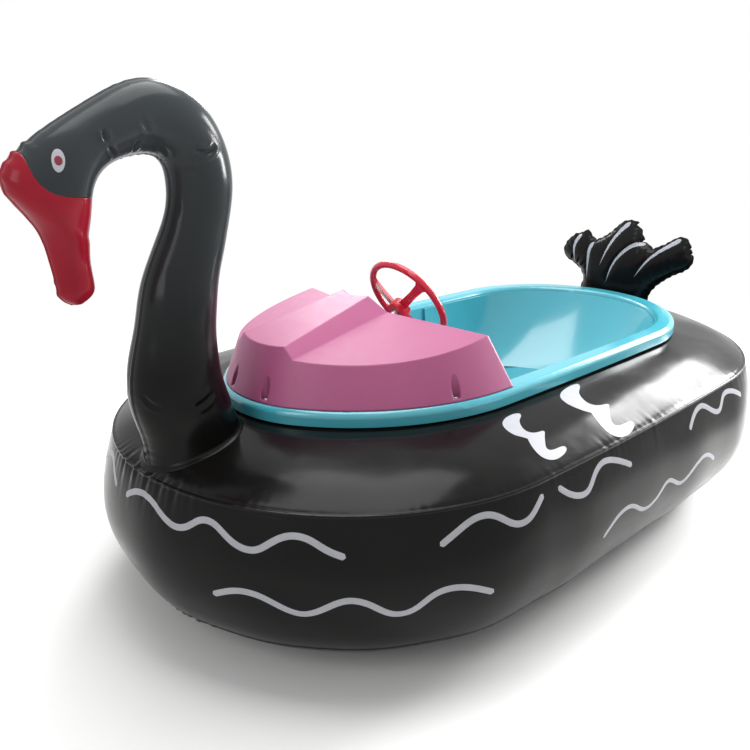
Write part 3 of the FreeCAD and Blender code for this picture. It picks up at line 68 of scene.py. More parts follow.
# %% Camera
CAMERA_AT = Vector((1.658, 1.566, 1.222))
CAMERA_AIM = Vector((-0.6338, -0.7004, -0.3283)).normalized()
CAMERA_ROLL = math.radians(-0.2)
FOCAL_PX = 847.0
PICTURE_PX = 750.0
SENSOR_MM = 36.0

level = CAMERA_AIM.cross(Vector((0, 0, 1))).normalized()
upright = level.cross(CAMERA_AIM)
camera_right = level * math.cos(CAMERA_ROLL) + upright * math.sin(CAMERA_ROLL)
camera_up = upright * math.cos(CAMERA_ROLL) - level * math.sin(CAMERA_ROLL)

camera_data = bpy.data.cameras.new("camera")
camera_data.sensor_width = SENSOR_MM
camera_data.lens = FOCAL_PX / PICTURE_PX * SENSOR_MM
camera = bpy.data.objects.new("camera", camera_data)
camera_turn = Matrix((camera_right, camera_up, -CAMERA_AIM)).transposed()
camera.matrix_world = Matrix.Translation(CAMERA_AT) @ camera_turn.to_4x4()
scene.collection.objects.link(camera)
scene.camera = camera


def pixel_ray(pixel):
    """Direction from the camera through a pixel of the photograph."""
    across = (pixel[0] - PICTURE_PX / 2) / FOCAL_PX
    down = (pixel[1] - PICTURE_PX / 2) / FOCAL_PX
    return (CAMERA_AIM + camera_right * across - camera_up * down).normalized()


print("lens in mm:", round(camera_data.lens, 1))

# %% [markdown]
# ## Helpers for every material
#
# Colours are written as hex codes, the way a paint maker or a web page gives
# them. Blender works in linear light, so one function converts them. Another
# adds a shader node together with its settings and links, which keeps each
# material short enough to read as a recipe. The last two turn a real size
# into a texture's scale and start a material off.

# %% Colours and nodes
def colour(code):
    """Linear colour from an sRGB hex code."""
    parts = [int(code[i:i + 2], 16) / 255 for i in (1, 3, 5)]
    linear = [v / 12.92 if v <= 0.04045 else ((v + 0.055) / 1.055) ** 2.4 for v in parts]
    return (*linear, 1.0)


def add(tree, kind, inputs, **settings):
    """Adds a node. Each input gets a value, or a link from another node's socket."""
    made = tree.nodes.new(kind)
    for key, value in settings.items():
        setattr(made, key, value)
    for key, value in inputs.items():
        if isinstance(value, bpy.types.NodeSocket):
            tree.links.new(value, made.inputs[key])
        else:
            made.inputs[key].default_value = value
    return made


def per_metre(millimetres):
    """Texture scale at which a pattern repeats about every so many millimetres."""
    return 1 / (millimetres * MM)


def new_material(name):
    """Material with an empty tree, and its place on the object in metres."""
    material = bpy.data.materials.new(name)
    material.use_nodes = True
    tree = material.node_tree
    tree.nodes.clear()
    return material, tree, add(tree, "ShaderNodeTexCoord", {}).outputs["Object"]


print("mid grey in linear light:", [round(v, 3) for v in colour("#808080")[:3]])

# %% [markdown]
# ## The floor
#
# A catalogue picture has no horizon: the floor runs into white. A curved
# backdrop could do that, but it throws uneven light back on glossy film. So
# the floor is a plain wide sheet, painted nearly white and matt. Near the
# boat it is real paint that takes the boat's shadow, and further out it
# fades to the same white as the world behind it.

# %% Floor
FLOOR_HALF = 30.0
FADE_FROM = 1.5
FADE_TO = 3.4


def looked_at(tree):
    """1 for rays that see a surface, mirrored or not, and 0 for rays that only light."""
    ray = add(tree, "ShaderNodeLightPath", {})
    direct = add(tree, "ShaderNodeMath", {
        0: ray.outputs["Is Camera Ray"], 1: ray.outputs["Is Glossy Ray"],
    }, operation="MAXIMUM")
    return add(tree, "ShaderNodeMath", {
        0: direct.outputs["Value"], 1: ray.outputs["Is Transmission Ray"],
    }, operation="MAXIMUM").outputs["Value"]


floor_mesh = bpy.data.meshes.new("floor")
floor_mesh.from_pydata([
    (-FLOOR_HALF, -FLOOR_HALF, 0), (FLOOR_HALF, -FLOOR_HALF, 0),
    (FLOOR_HALF, FLOOR_HALF, 0), (-FLOOR_HALF, FLOOR_HALF, 0),
], [], [(0, 1, 2, 3)])
floor = bpy.data.objects.new("floor", floor_mesh)
scene.collection.objects.link(floor)

floor_paint, tree, place = new_material("matt_floor_paint")
# The roller leaves a faint stipple of about 5 mm
roller = add(tree, "ShaderNodeTexNoise", {"Vector": place, "Scale": per_metre(5), "Detail": 2.0})
stipple = add(tree, "ShaderNodeBump", {
    "Height": roller.outputs["Fac"], "Distance": 0.1 * MM, "Strength": 0.2,
})
paint = add(tree, "ShaderNodeBsdfPrincipled", {
    "Base Color": colour("#F4F4F3"), "Roughness": 0.8, "Normal": stipple.outputs["Normal"],
})
white = add(tree, "ShaderNodeEmission", {"Color": colour("#FFFFFF"), "Strength": 1.0})
away = add(tree, "ShaderNodeVectorMath", {0: place}, operation="LENGTH")
fade = add(tree, "ShaderNodeMapRange", {
    "Value": away.outputs["Value"], "From Min": FADE_FROM, "From Max": FADE_TO,
}, interpolation_type="SMOOTHSTEP")
share = add(tree, "ShaderNodeMath", {
    0: fade.outputs["Result"], 1: looked_at(tree),
}, operation="MULTIPLY")
blend = add(tree, "ShaderNodeMixShader", {
    "Fac": share.outputs["Value"], 1: paint.outputs["BSDF"], 2: white.outputs["Emission"],
})
add(tree, "ShaderNodeOutputMaterial", {"Surface": blend.outputs["Shader"]})
floor_mesh.materials.append(floor_paint)
print("floor fades to white from", FADE_FROM, "m")

# %% [markdown]
# ## The light
#
# Black film has almost no colour of its own, so its shape is told by what it
# mirrors. One wide panel overhead lights everything. The other places were
# worked out backwards, by reflecting lines of sight in the skin: a panel
# beyond the far side is mirrored along the rim, one astern in the top of the
# ring there, and a low one draws the bright edge down the back of the neck.
# The world gives the rest: plain white where it is seen, and less where it
# only lights.

# %% Soft boxes and world
SOFT_BOXES = (
    # name, place, aim, width and height, watts
    ("overhead", (0.1, -0.2, 3.4), (0.0, 0.0, 0.4), (2.6, 2.2), 95),
    ("far_side", (-1.07, -2.0, 2.15), (0.6, 0.2, 0.49), (0.8, 1.3), 30),
    ("astern", (-3.0, 0.2, 2.1), (-0.2, 0.5, 0.46), (1.0, 0.9), 62),
    ("neck_edge", (-2.16, 0.93, 1.1), (0.7, 0.06, 1.07), (0.6, 0.8), 75),
    ("bow", (3.4, 0.6, 2.2), (0.4, 0.0, 0.5), (1.0, 1.6), 20),
)
for name, at, aim, size, watts in SOFT_BOXES:
    panel = bpy.data.lights.new(name, "AREA")
    panel.shape = "RECTANGLE"
    panel.size, panel.size_y = size
    panel.energy = watts
    lamp = bpy.data.objects.new(name, panel)
    lamp.location = at
    lamp.rotation_euler = (Vector(aim) - Vector(at)).to_track_quat("-Z", "Y").to_euler()
    lamp.visible_camera = False
    scene.collection.objects.link(lamp)

WORLD_LIGHT = 0.55

world = bpy.data.worlds.new("studio")
scene.world = world
world.use_nodes = True
tree = world.node_tree
tree.nodes.clear()
strength = add(tree, "ShaderNodeMapRange", {
    "Value": looked_at(tree), "To Min": WORLD_LIGHT, "To Max": 1.0,
})
glow = add(tree, "ShaderNodeBackground", {
    "Color": colour("#FFFFFF"), "Strength": strength.outputs["Result"],
})
add(tree, "ShaderNodeOutputWorld", {"Surface": glow.outputs["Background"]})
scene.view_settings.view_transform = "Standard"
print("soft boxes:", len(SOFT_BOXES))

# %% [markdown]
# ## Smooth curves
#
# Every air-filled form here is swept: rows of points along it and columns
# round it. A few measured sections would look faceted, so a natural cubic
# curve runs through them. Points are then spaced closely where a seam
# puckers and widely where the skin is plain.

# %% Curves
TINY = 1e-12


def cubic(knots, count, chord=2):
    """Natural cubic curve through rows of numbers, spaced by their first few."""
    knots = np.array(knots, float)
    steps = np.linalg.norm(np.diff(knots[:, :chord], axis=0), axis=1)
    marks = np.concatenate(([0.0], np.cumsum(steps)))
    last = len(knots) - 1
    system = np.eye(last + 1)
    bends = np.zeros_like(knots)
    for i in range(1, last):
        before, after = steps[i - 1], steps[i]
        system[i, i - 1:i + 2] = before, 2 * (before + after), after
        bends[i] = 6 * ((knots[i + 1] - knots[i]) / after - (knots[i] - knots[i - 1]) / before)
    bends = np.linalg.solve(system, bends)
    wanted = np.linspace(0, marks[-1], count)
    low = np.clip(np.searchsorted(marks, wanted, side="right") - 1, 0, last - 1)
    step = steps[low][:, None]
    late = (wanted - marks[low])[:, None] / step
    early = 1 - late
    straight = early * knots[low] + late * knots[low + 1]
    swing = (early ** 3 - early) * bends[low] + (late ** 3 - late) * bends[low + 1]
    return straight + swing * step ** 2 / 6


def lengths_along(line):
    """Distance along a line to each of its points."""
    return np.concatenate(([0.0], np.cumsum(np.linalg.norm(np.diff(line, axis=0), axis=1))))


def at_lengths(line, marks):
    """Points of a line at distances along it."""
    lengths = lengths_along(line)
    return np.stack([np.interp(marks, lengths, line[:, k]) for k in range(line.shape[1])], axis=1)


def respaced(line, spacing):
    """Points along a line, about as far apart as spacing(point) says."""
    line = np.array(line, float)
    total = lengths_along(line)[-1]
    marks = [0.0]
    while marks[-1] < total:
        marks.append(marks[-1] + spacing(at_lengths(line, [marks[-1]])[0]))
    return at_lengths(line, np.array(marks) * total / marks[-1])


def gaps_to(points, line, closed=False):
    """Distance from each point to a line, how far along it that is, and its length."""
    ends = np.roll(line, -1, axis=0) if closed else line[1:]
    starts = line if closed else line[:-1]
    runs = ends - starts
    gaps = points[:, None, :] - starts[None]
    share = np.clip((gaps * runs).sum(-1) / np.maximum((runs * runs).sum(-1), TINY), 0, 1)
    away = np.linalg.norm(gaps - share[..., None] * runs, axis=-1)
    nearest = away.argmin(axis=1)
    rows = np.arange(len(points))
    lengths = np.linalg.norm(runs, axis=1)
    before = np.concatenate(([0.0], np.cumsum(lengths)))
    along = before[nearest] + share[rows, nearest] * lengths[nearest]
    return away[rows, nearest], along, before[-1]


print("a curve through three corners has", len(cubic([(0, 0), (1, 1), (2, 0)], 9)), "points")

# %% [markdown]
# ## Puckers
#
# Fabric never puckers evenly. Adding sine waves of unrelated lengths, each
# with its own random start, gives pleats that bunch and fade. The random
# numbers are seeded, so the boat is the same each time.

# %% Ripples
def ripples(places, length, longest, shortest, count, seed):
    """Irregular waves along a closed length, about -1 to 1."""
    chance = np.random.default_rng(seed)
    total = np.zeros_like(places)
    for wave in np.geomspace(longest, shortest, count):
        turns = max(1, round(length / wave * chance.uniform(0.85, 1.15)))
        total += np.sin(2 * np.pi * turns * places / length + chance.uniform(0, 2 * np.pi))
    return total / math.sqrt(count)


def bell(distance, width):
    """1 at no distance, and almost 0 at twice the width."""
    return np.exp(-(distance / width) ** 2)


sample = ripples(np.linspace(0, 1, 200), 1.0, 0.2, 0.05, 5, 3)
print("ripples run from", round(sample.min(), 2), "to", round(sample.max(), 2))

# %% [markdown]
# ## From a grid of points to a piece
#
# A swept form could be made with curve objects and a bevel, but then its
# welds and pleats would need another way. As a grid of points, each point
# can be pushed out along the skin's own normal before any face is made.

# %% Grids and skins
def grid_normals(grid):
    """Unit normal at each point of a grid whose columns close on themselves."""
    along = np.gradient(grid, axis=0)
    across = np.roll(grid, -1, axis=1) - np.roll(grid, 1, axis=1)
    normal = np.cross(along, across)
    return normal / np.maximum(np.linalg.norm(normal, axis=2, keepdims=True), TINY)


def grid_faces(rows, columns, close_rows=False, close_columns=True):
    """Quads between the points of a grid."""
    faces = []
    for i in range(rows if close_rows else rows - 1):
        low, high = i * columns, (i + 1) % rows * columns
        for j in range(columns if close_columns else columns - 1):
            k = (j + 1) % columns
            faces.append((low + j, low + k, high + k, high + j))
    return faces


def skin(name, points, faces, material, slot=None, replaced=None, over=None):
    """Smooth piece that rides the boat, turned right side out."""
    data = bpy.data.meshes.new(name)
    data.from_pydata([tuple(p) for p in points], [], [tuple(f) for f in faces])
    if over is None:
        mesh = bmesh.new()
        mesh.from_mesh(data)
        bmesh.ops.recalc_face_normals(mesh, faces=mesh.faces)
        mesh.to_mesh(data)
        mesh.free()
    else:
        middle = data.polygons[len(data.polygons) // 2]
        if middle.normal.dot(over.find_nearest(middle.center)[1]) < 0:
            data.flip_normals()
    data.polygons.foreach_set("use_smooth", [True] * len(data.polygons))
    data.materials.append(material)
    data.update()
    made = bpy.data.objects.new(name, data)
    scene.collection.objects.link(made)
    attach(made, "boat")
    if replaced:
        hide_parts(replaced)
    return made


def surface_of(made):
    """Search tree of a piece's surface, for finding points on it."""
    corners = [vertex.co.copy() for vertex in made.data.vertices]
    return BVHTree.FromPolygons(corners, [tuple(face.vertices) for face in made.data.polygons])


print("a 4 by 5 ring has", len(grid_faces(4, 5)), "quads")

# %% [markdown]
# ## Coated fabric
#
# The skins are PVC-coated polyester: a woven base cloth with soft PVC pressed
# on both sides between hot rollers. The eye gets a wet-looking film, with
# long slack waves in it, a faint print of the cloth, and haze where hands
# have been. High on the neck the black is painted lighter and bluish grey: a
# painted sheen that stands in for the soft reflected light lying on the head.
# The waves and the cloth are bump only, because they are so shallow; the
# pleats and welds are real geometry. A Wave texture has a measure of its own,
# so one named value turns the real distance between its bands into its scale.

# %% PVC-coated fabric
# Heights between which the film is painted lighter: a painted sheen for the reflected light on the
# head
SHEEN_FROM_Z = 0.65
SHEEN_TO_Z = 1.15
# Metres between the diagonal bands of a Wave texture with a scale of 1
BAND_GAP = 2 * math.pi / 10 / math.sqrt(3)
CLOTH_BAND_MM = 50.8


def coated_fabric(name, film, worn, sheen_colour, colour_shift):
    """Film colours as made and as worn, the colour of a painted sheen high up, and its largest share.
    """
    material, tree, place = new_material(name)
    cloud = add(tree, "ShaderNodeTexNoise", {"Vector": place, "Scale": per_metre(90), "Detail": 2.0})
    tint = add(tree, "ShaderNodeMix", {
        "Factor": cloud.outputs["Fac"], "A": colour(film), "B": colour(worn),
    }, data_type="RGBA")
    axes = add(tree, "ShaderNodeSeparateXYZ", {"Vector": place})
    # Painted sheen: with height the film is painted towards a lighter bluish grey, standing in for
    # reflected light
    painted_sheen_share = add(tree, "ShaderNodeMapRange", {
        "Value": axes.outputs["Z"], "From Min": SHEEN_FROM_Z, "From Max": SHEEN_TO_Z,
        "To Max": colour_shift,
    })
    tint_with_sheen = add(tree, "ShaderNodeMix", {
        "Factor": painted_sheen_share.outputs["Result"], "A": tint.outputs["Result"], "B": colour(sheen_colour),
    }, data_type="RGBA")
    haze = add(tree, "ShaderNodeTexNoise", {"Vector": place, "Scale": per_metre(35), "Detail": 4.0})
    gloss = add(tree, "ShaderNodeMapRange", {
        "Value": haze.outputs["Fac"], "To Min": 0.12, "To Max": 0.26,
    })
    slack = add(tree, "ShaderNodeTexNoise", {"Vector": place, "Scale": per_metre(150), "Detail": 1.5})
    waved = add(tree, "ShaderNodeBump", {
        "Height": slack.outputs["Fac"], "Distance": 5 * MM, "Strength": 0.3,
    })
    # The cloth has a thread to the millimetre, far too fine to show from here. Its
    # print is drawn coarse: two crossing sets of faint bands that unsettle the shine
    cloth_scale = BAND_GAP * per_metre(CLOTH_BAND_MM)
    mirrored_place = add(tree, "ShaderNodeVectorMath", {
        0: place, 1: (-1, 1, 1),
    }, operation="MULTIPLY")
    warp = add(tree, "ShaderNodeTexWave", {
        "Vector": place, "Scale": cloth_scale,
    }, bands_direction="DIAGONAL")
    weft = add(tree, "ShaderNodeTexWave", {
        "Vector": mirrored_place.outputs["Vector"], "Scale": cloth_scale,
    }, bands_direction="DIAGONAL")
    cloth = add(tree, "ShaderNodeMath", {
        0: warp.outputs["Fac"], 1: weft.outputs["Fac"],
    }, operation="MULTIPLY")
    woven = add(tree, "ShaderNodeBump", {
        "Height": cloth.outputs["Value"], "Distance": 0.06 * MM, "Strength": 0.3,
        "Normal": waved.outputs["Normal"],
    })
    shader = add(tree, "ShaderNodeBsdfPrincipled", {
        "Base Color": tint_with_sheen.outputs["Result"], "Roughness": gloss.outputs["Result"],
        "Normal": woven.outputs["Normal"], "IOR": 1.5, "Specular IOR Level": 0.13,
    })
    add(tree, "ShaderNodeOutputMaterial", {"Surface": shader.outputs["BSDF"]})
    return material


# The last colour and share are the painted sheen high on the neck and head
black_film = coated_fabric("black_pvc_coated_fabric", "#0B0A0A", "#121110", "#4A5053", 0.5)
red_film = coated_fabric("red_pvc_coated_fabric", "#931526", "#7C1122", "#A04048", 0.1)
print("films:", black_film.name, red_film.name)

# %% [markdown]
# ## The air ring: its plan
#
# From above the ring is a blunt egg. A maker draws such a plan with arcs
# that run into each other without a kink: a round bow, long side arcs and a
# smaller stern arc. The same arcs are used here, so that the skin follows
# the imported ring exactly.

# %% Plan of the ring
RING_MIDDLE_X = 0.311
RING_HALF = 0.608
RING_STERN_REACH = 1.427
RING_STERN_RADIUS = 0.575
PLAN_SPACING = 0.0058


def quarter_arcs(half, reach, end_radius):
    """Arcs from an end of a plan to its widest place: centre, radius, angles."""
    if end_radius >= half:
        return [(0.0, 0.0, half, 0.0, math.pi / 2)]
    along = reach - end_radius
    side_radius = (along ** 2 + half ** 2 - end_radius ** 2) / (2 * (half - end_radius))
    joint = math.atan2(side_radius - half, along)
    return [
        (along, 0.0, end_radius, 0.0, joint),
        (0.0, half - side_radius, side_radius, joint, math.pi / 2),
    ]


def ring_plan():
    """Round the plan from the bow over port: arc centre, direction, radius."""
    bow = quarter_arcs(RING_HALF, RING_HALF, RING_HALF)
    stern = quarter_arcs(RING_HALF, RING_STERN_REACH, RING_STERN_RADIUS)
    samples = []
    for way, side, arcs in ((1, 1, bow), (-1, 1, stern), (-1, -1, stern), (1, -1, bow)):
        backwards = way != side
        for cx, cy, radius, start, stop in (reversed(arcs) if backwards else arcs):
            count = max(2, round(radius * (stop - start) / PLAN_SPACING))
            ends = (stop, start) if backwards else (start, stop)
            for angle in np.linspace(*ends, count, endpoint=False):
                samples.append((
                    RING_MIDDLE_X + way * cx, side * cy,
                    way * math.cos(angle), side * math.sin(angle), radius,
                ))
    return np.array(samples)


plan = ring_plan()
print("columns round the ring:", len(plan))

# %% [markdown]
# ## The air ring: its section
#
# Cut across, the ring is a fat side panel and a flatter top panel, joined by
# a weld a hand below the top. Inside, the top lies against the cockpit wall.
# How deep it reaches there changes round the boat, so it is searched for:
# halving a range twenty times finds the wall to a thousandth of a millimetre.

# %% Section of the ring
RING_HEIGHT = 0.490
RING_DEPTH = 0.220
RING_SHALLOWEST = 0.9 * RING_DEPTH
RING_DEEPEST = 0.290
# Places across the section, as shares of the ring's depth and of its height
SIDE_PANEL = ((0.836, 0.0), (0.157, 0.184), (-0.166, 0.478), (-0.125, 0.673), (0.0, 0.867))
TOP_PANEL = ((0.0, 0.867), (0.295, 0.931), (0.636, 0.971), (1.0, 1.0))
UPPER_WELD_Z = SIDE_PANEL[-1][1] * RING_HEIGHT
LOWER_WELD_Z = 0.100
RIM_MIDDLE_X = 0.168
RIM_HALF = 0.388
RIM_BOW = (0.493, 0.266)
RIM_STERN = (1.060, 0.374)
RIM_COVER = 0.046
HALVINGS = 20
SIDE_STEPS, TOP_STEPS = 400, 200
FINE_SPACING = 0.0022
COARSE_SPACING = 0.0105
SPACING_GROWTH = 0.16
PUCKERED_REACH = 0.006


def rim_inset(x, y):
    """How far inside the cockpit rim's outline a point lies."""
    near, far = quarter_arcs(RIM_HALF, *(RIM_BOW if x > RIM_MIDDLE_X else RIM_STERN))
    along, across = abs(x - RIM_MIDDLE_X), abs(y)
    turn = math.atan2(across, along - near[0])
    cx, cy, radius = near[:3] if along > near[0] and turn < near[4] else far[:3]
    return radius - math.hypot(along - cx, across - cy)


def depth_to_wall(cx, cy, dx, dy, radius):
    """Depth at which the ring's top meets the cockpit wall."""
    low, high = RING_SHALLOWEST, RING_DEEPEST
    if rim_inset(cx + (radius - high) * dx, cy + (radius - high) * dy) < RIM_COVER:
        return high
    for _ in range(HALVINGS):
        middle = (low + high) / 2
        if rim_inset(cx + (radius - middle) * dx, cy + (radius - middle) * dy) > RIM_COVER:
            high = middle
        else:
            low = middle
    return low


def row_spacing(here):
    """2 mm beside a weld, where it puckers, and 10 mm elsewhere."""
    near = min(abs(here[1] - UPPER_WELD_Z), abs(here[1] - LOWER_WELD_Z))
    return min(COARSE_SPACING, FINE_SPACING + max(0.0, near - PUCKERED_REACH) * SPACING_GROWTH)


side_line = cubic([(a * RING_DEPTH, b * RING_HEIGHT) for a, b in SIDE_PANEL], SIDE_STEPS)
top_line = cubic([(a * RING_DEPTH, b * RING_HEIGHT) for a, b in TOP_PANEL], TOP_STEPS)
shown_line = np.concatenate((respaced(side_line, row_spacing), respaced(top_line, row_spacing)[1:]))
wall_depth = np.array([depth_to_wall(*sample) for sample in plan])
print("rows that show:", len(shown_line), "wall depth from", round(wall_depth.min(), 3))

# %% [markdown]
# ## The air ring: its skin
#
# The bare grid is swept first. Then the film is worked: a raised bead along
# each weld with a groove beside it, pleats that die away from the weld and
# are strongest at the tight bow, and a slow unevenness over the panels.

# %% Bare grid of the ring
# Shares at which hidden rows lie: over the top, down the wall, back underneath
TOP_SHARES = (0.3, 0.65, 1.0)
WALL_SHARES = (0.03, 0.3, 0.6, 0.97, 1.0)
UNDER_SHARES = (0.35, 0.7)


def ring_grid():
    """Points of the ring before its film is worked, and the height of each row."""
    insets = [np.full(len(plan), inset) for inset, _ in shown_line]
    heights = [z for _, z in shown_line]
    for share in TOP_SHARES:
        insets.append(RING_DEPTH + (wall_depth - RING_DEPTH) * share)
        heights.append(RING_HEIGHT)
    for share in WALL_SHARES:
        insets.append(wall_depth)
        heights.append(RING_HEIGHT * (1 - share))
    for share in UNDER_SHARES:
        insets.append(wall_depth + (shown_line[0][0] - wall_depth) * share)
        heights.append(0.0)
    reach = plan[:, 4][None, :] - np.array(insets)
    heights = np.array(heights)
    return np.stack((
        plan[:, 0] + reach * plan[:, 2],
        plan[:, 1] + reach * plan[:, 3],
        np.repeat(heights[:, None], len(plan), axis=1),
    ), axis=2), heights


ring, ring_heights = ring_grid()
print("points of the ring:", ring.shape[0] * ring.shape[1])

# %% Welds and pleats of the ring
BEAD, BEAD_WIDTH = 0.0030, 0.0032
GROOVE, GROOVE_WIDTH = 0.0016, 0.011
LOWER_BEAD, LOWER_BEAD_WIDTH = 0.7 * BEAD, 0.0035
PLEAT, PLEAT_REACH = 0.0021, (0.030, 0.020)
LOWER_PLEAT, LOWER_PLEAT_REACH = 0.6 * PLEAT, 0.022
PLEAT_FADE = 1.2
PRESSED_FLAT, PRESSED_SHARE = 0.004, 0.55
SLACK = 0.0028
TOP_SLACK = 0.7 * SLACK
TIGHT_BOW_X, TIGHT_BOW_FADE, TIGHT_BOW_PLEATS = 0.886, 0.022, 0.85
# Columns that a pattern is turned by, so that two seams don't pucker alike
LOWER_TURN, TOP_TURN = 37, 120
# How the side pleats bunch: the range of the bunching, its share and its mean
BUNCH_FROM, BUNCH_TO, BUNCH_SHARE, BUNCH_MEAN = -0.6, 1.6, 0.11, 0.10
LEAST_PLEAT = 0.02
ON_FLOOR = 1e-6


def ring_lift():
    """How far each point of the ring is pushed out."""
    line = ring[len(shown_line) // 2, :, :2]
    places = np.cumsum(np.linalg.norm(np.roll(line, -1, axis=0) - line, axis=1))
    length = places[-1]
    section = lengths_along(shown_line)
    weld = section[np.argmin(np.abs(shown_line[:, 1] - UPPER_WELD_Z))]
    lower_weld = section[np.argmin(np.abs(shown_line[:, 1] - LOWER_WELD_Z))]
    fine = ripples(places, length, longest=0.055, shortest=0.024, count=6, seed=11)
    # Along the sides the pleats bunch here and there, and round the bow they all stand
    gathers = ripples(places, length, longest=0.9, shortest=0.16, count=6, seed=12)
    bunched = np.clip(gathers, BUNCH_FROM, BUNCH_TO) * BUNCH_SHARE + BUNCH_MEAN
    slow = ripples(places, length, longest=0.75, shortest=0.3, count=5, seed=13)
    column_x = plan[:, 0] + plan[:, 4] * plan[:, 2]
    at_bow = np.clip((column_x - TIGHT_BOW_X) / TIGHT_BOW_FADE, 0, 1)
    strength = np.clip(bunched, LEAST_PLEAT, 1.0) + TIGHT_BOW_PLEATS * at_bow
    lift = np.zeros(ring.shape[:2])
    for row, place in enumerate(section):
        off = place - weld
        fade = math.exp(-(abs(off) / PLEAT_REACH[int(off > 0)]) ** PLEAT_FADE)
        clear = 1 - PRESSED_SHARE * math.exp(-(off / PRESSED_FLAT) ** 2)
        lift[row] += PLEAT * fine * strength * fade * clear
        lift[row] += BEAD * bell(off, BEAD_WIDTH) - GROOVE * bell(off, GROOVE_WIDTH)
        low_off = place - lower_weld
        low_fade = math.exp(-(abs(low_off) / LOWER_PLEAT_REACH) ** PLEAT_FADE)
        lift[row] += LOWER_PLEAT * np.roll(fine, LOWER_TURN) * strength * low_fade
        lift[row] += LOWER_BEAD * bell(low_off, LOWER_BEAD_WIDTH)
        if off < 0:
            lift[row] += SLACK * slow * math.sin(math.pi * place / weld)
        else:
            top_share = off / (section[-1] - weld)
            lift[row] += TOP_SLACK * np.roll(slow, TOP_TURN) * math.sin(math.pi * top_share)
    lift[ring_heights <= ON_FLOOR] = 0.0
    return lift


ring_out = grid_normals(ring)
ring_out *= np.sign(ring_out[len(shown_line) // 2, 0, 0])
ring = ring + ring_out * ring_lift()[:, :, None]
ring[:, :, 2] = np.clip(ring[:, :, 2], 0.0, None)
tube_skin = skin(
    "tube_skin", ring.reshape(-1, 3), grid_faces(ring.shape[0], ring.shape[1], close_rows=True),
    black_film, "black_pvc", "air_tube",
)
tube_surface = surface_of(tube_skin)
print("ring skin from", [round(v, 3) for v in ring.reshape(-1, 3).min(axis=0)])

# %% [markdown]
# ## Neck, head and beak: the sweep
#
# Two side panels are welded together along the profile and blown up. Their
# form is a tube along a bent line, deeper than it is broad. Each station
# below says where the line is, which way it heads, and how deep and broad
# the tube is there, as shares of the neck's height and girth.

# %% Neck stations
NECK_ROOT_X = 0.813
NECK_HEIGHT = 0.735
NECK_GIRTH = 0.150
NECK_STATIONS = (
    # forward, up, heading in degrees, half depth, half breadth
    (-0.034, -0.068, 85, 0.767, 0.667),
    (-0.022, 0.014, 85, 0.727, 0.647),
    (0.004, 0.114, 88, 0.720, 0.640),
    (0.012, 0.201, 92, 0.673, 0.593),
    (-0.003, 0.317, 98, 0.587, 0.520),
    (-0.031, 0.453, 103, 0.540, 0.480),
    (-0.087, 0.596, 105, 0.470, 0.420),
    (-0.113, 0.701, 95, 0.467, 0.413),
    (-0.093, 0.824, 62, 0.460, 0.420),
    (-0.038, 0.886, 38, 0.477, 0.440),
    (0.052, 0.909, 12, 0.473, 0.450),
    (0.148, 0.883, -14, 0.400, 0.427),
    (0.265, 0.803, -34, 0.467, 0.440),
    (0.297, 0.755, -40, 0.580, 0.440),
    (0.329, 0.697, -52, 0.617, 0.400),
    (0.299, 0.633, -62, 0.387, 0.313),
    (0.283, 0.562, -74, 0.273, 0.233),
    (0.276, 0.494, -85, 0.247, 0.200),
    (0.276, 0.457, -90, 0.167, 0.133),
    (0.276, 0.444, -90, 0.070, 0.060),
)
SWEEP_ROWS = 1400

neck_sweep = cubic([
    (
        NECK_ROOT_X + forward * NECK_HEIGHT, RING_HEIGHT + rise * NECK_HEIGHT,
        math.radians(heading), depth * NECK_GIRTH, breadth * NECK_GIRTH,
    )
    for forward, rise, heading, depth, breadth in NECK_STATIONS
], SWEEP_ROWS)
neck_places = lengths_along(neck_sweep[:, :2])
neck_length = neck_places[-1]


def neck_points(places, turns):
    """Points of the bare neck. Turn 0 is its back or crown, and pi its throat."""
    x, z, heading, depth, breadth = (
        np.interp(places, neck_places, neck_sweep[:, k]) for k in range(5)
    )
    out = np.cos(turns) * depth
    return np.stack((
        x - np.sin(heading) * out, np.sin(turns) * breadth, z + np.cos(heading) * out,
    ), axis=-1)


print("neck length along its middle:", round(neck_length, 3))

# %% [markdown]
# ## Where red meets black
#
# The beak is red fabric, welded to the black along a curved line. Painting
# the colour on would leave a blurred or toothed edge. Instead each column of
# points is cut exactly where it crosses the line, so the beak is a piece of
# its own, as it is on the real boat.

# %% Beak line
BEAK_LINE = (
    # forward of the neck's root and up, as shares of its height
    (0.470, 0.862), (0.384, 0.849), (0.378, 0.812), (0.358, 0.758),
    (0.331, 0.739), (0.291, 0.729), (0.244, 0.722), (0.170, 0.710),
)
BEAK_LINE_STEPS = 160
BEAK_SEARCH, BEAK_SEARCH_STEPS = (0.55, 0.97), 900
SMOOTHING = (0.1, 0.2, 0.4, 0.2, 0.1)
NECK_COLUMNS = 128

beak_line = cubic([
    (NECK_ROOT_X + forward * NECK_HEIGHT, RING_HEIGHT + rise * NECK_HEIGHT)
    for forward, rise in BEAK_LINE
], BEAK_LINE_STEPS)
neck_turns = np.linspace(0, 2 * np.pi, NECK_COLUMNS, endpoint=False)


def beak_side(points):
    """Positive on the beak's side of the line, by its nearest run."""
    gaps = points[:, None, (0, 2)] - beak_line[:-1]
    runs = np.diff(beak_line, axis=0)
    share = np.clip((gaps * runs).sum(-1) / (runs * runs).sum(-1), 0, 1)
    nearest = np.linalg.norm(gaps - share[..., None] * runs, axis=-1).argmin(axis=-1)
    gap, run = gaps[np.arange(len(points)), nearest], runs[nearest]
    return run[:, 0] * gap[:, 1] - run[:, 1] * gap[:, 0]


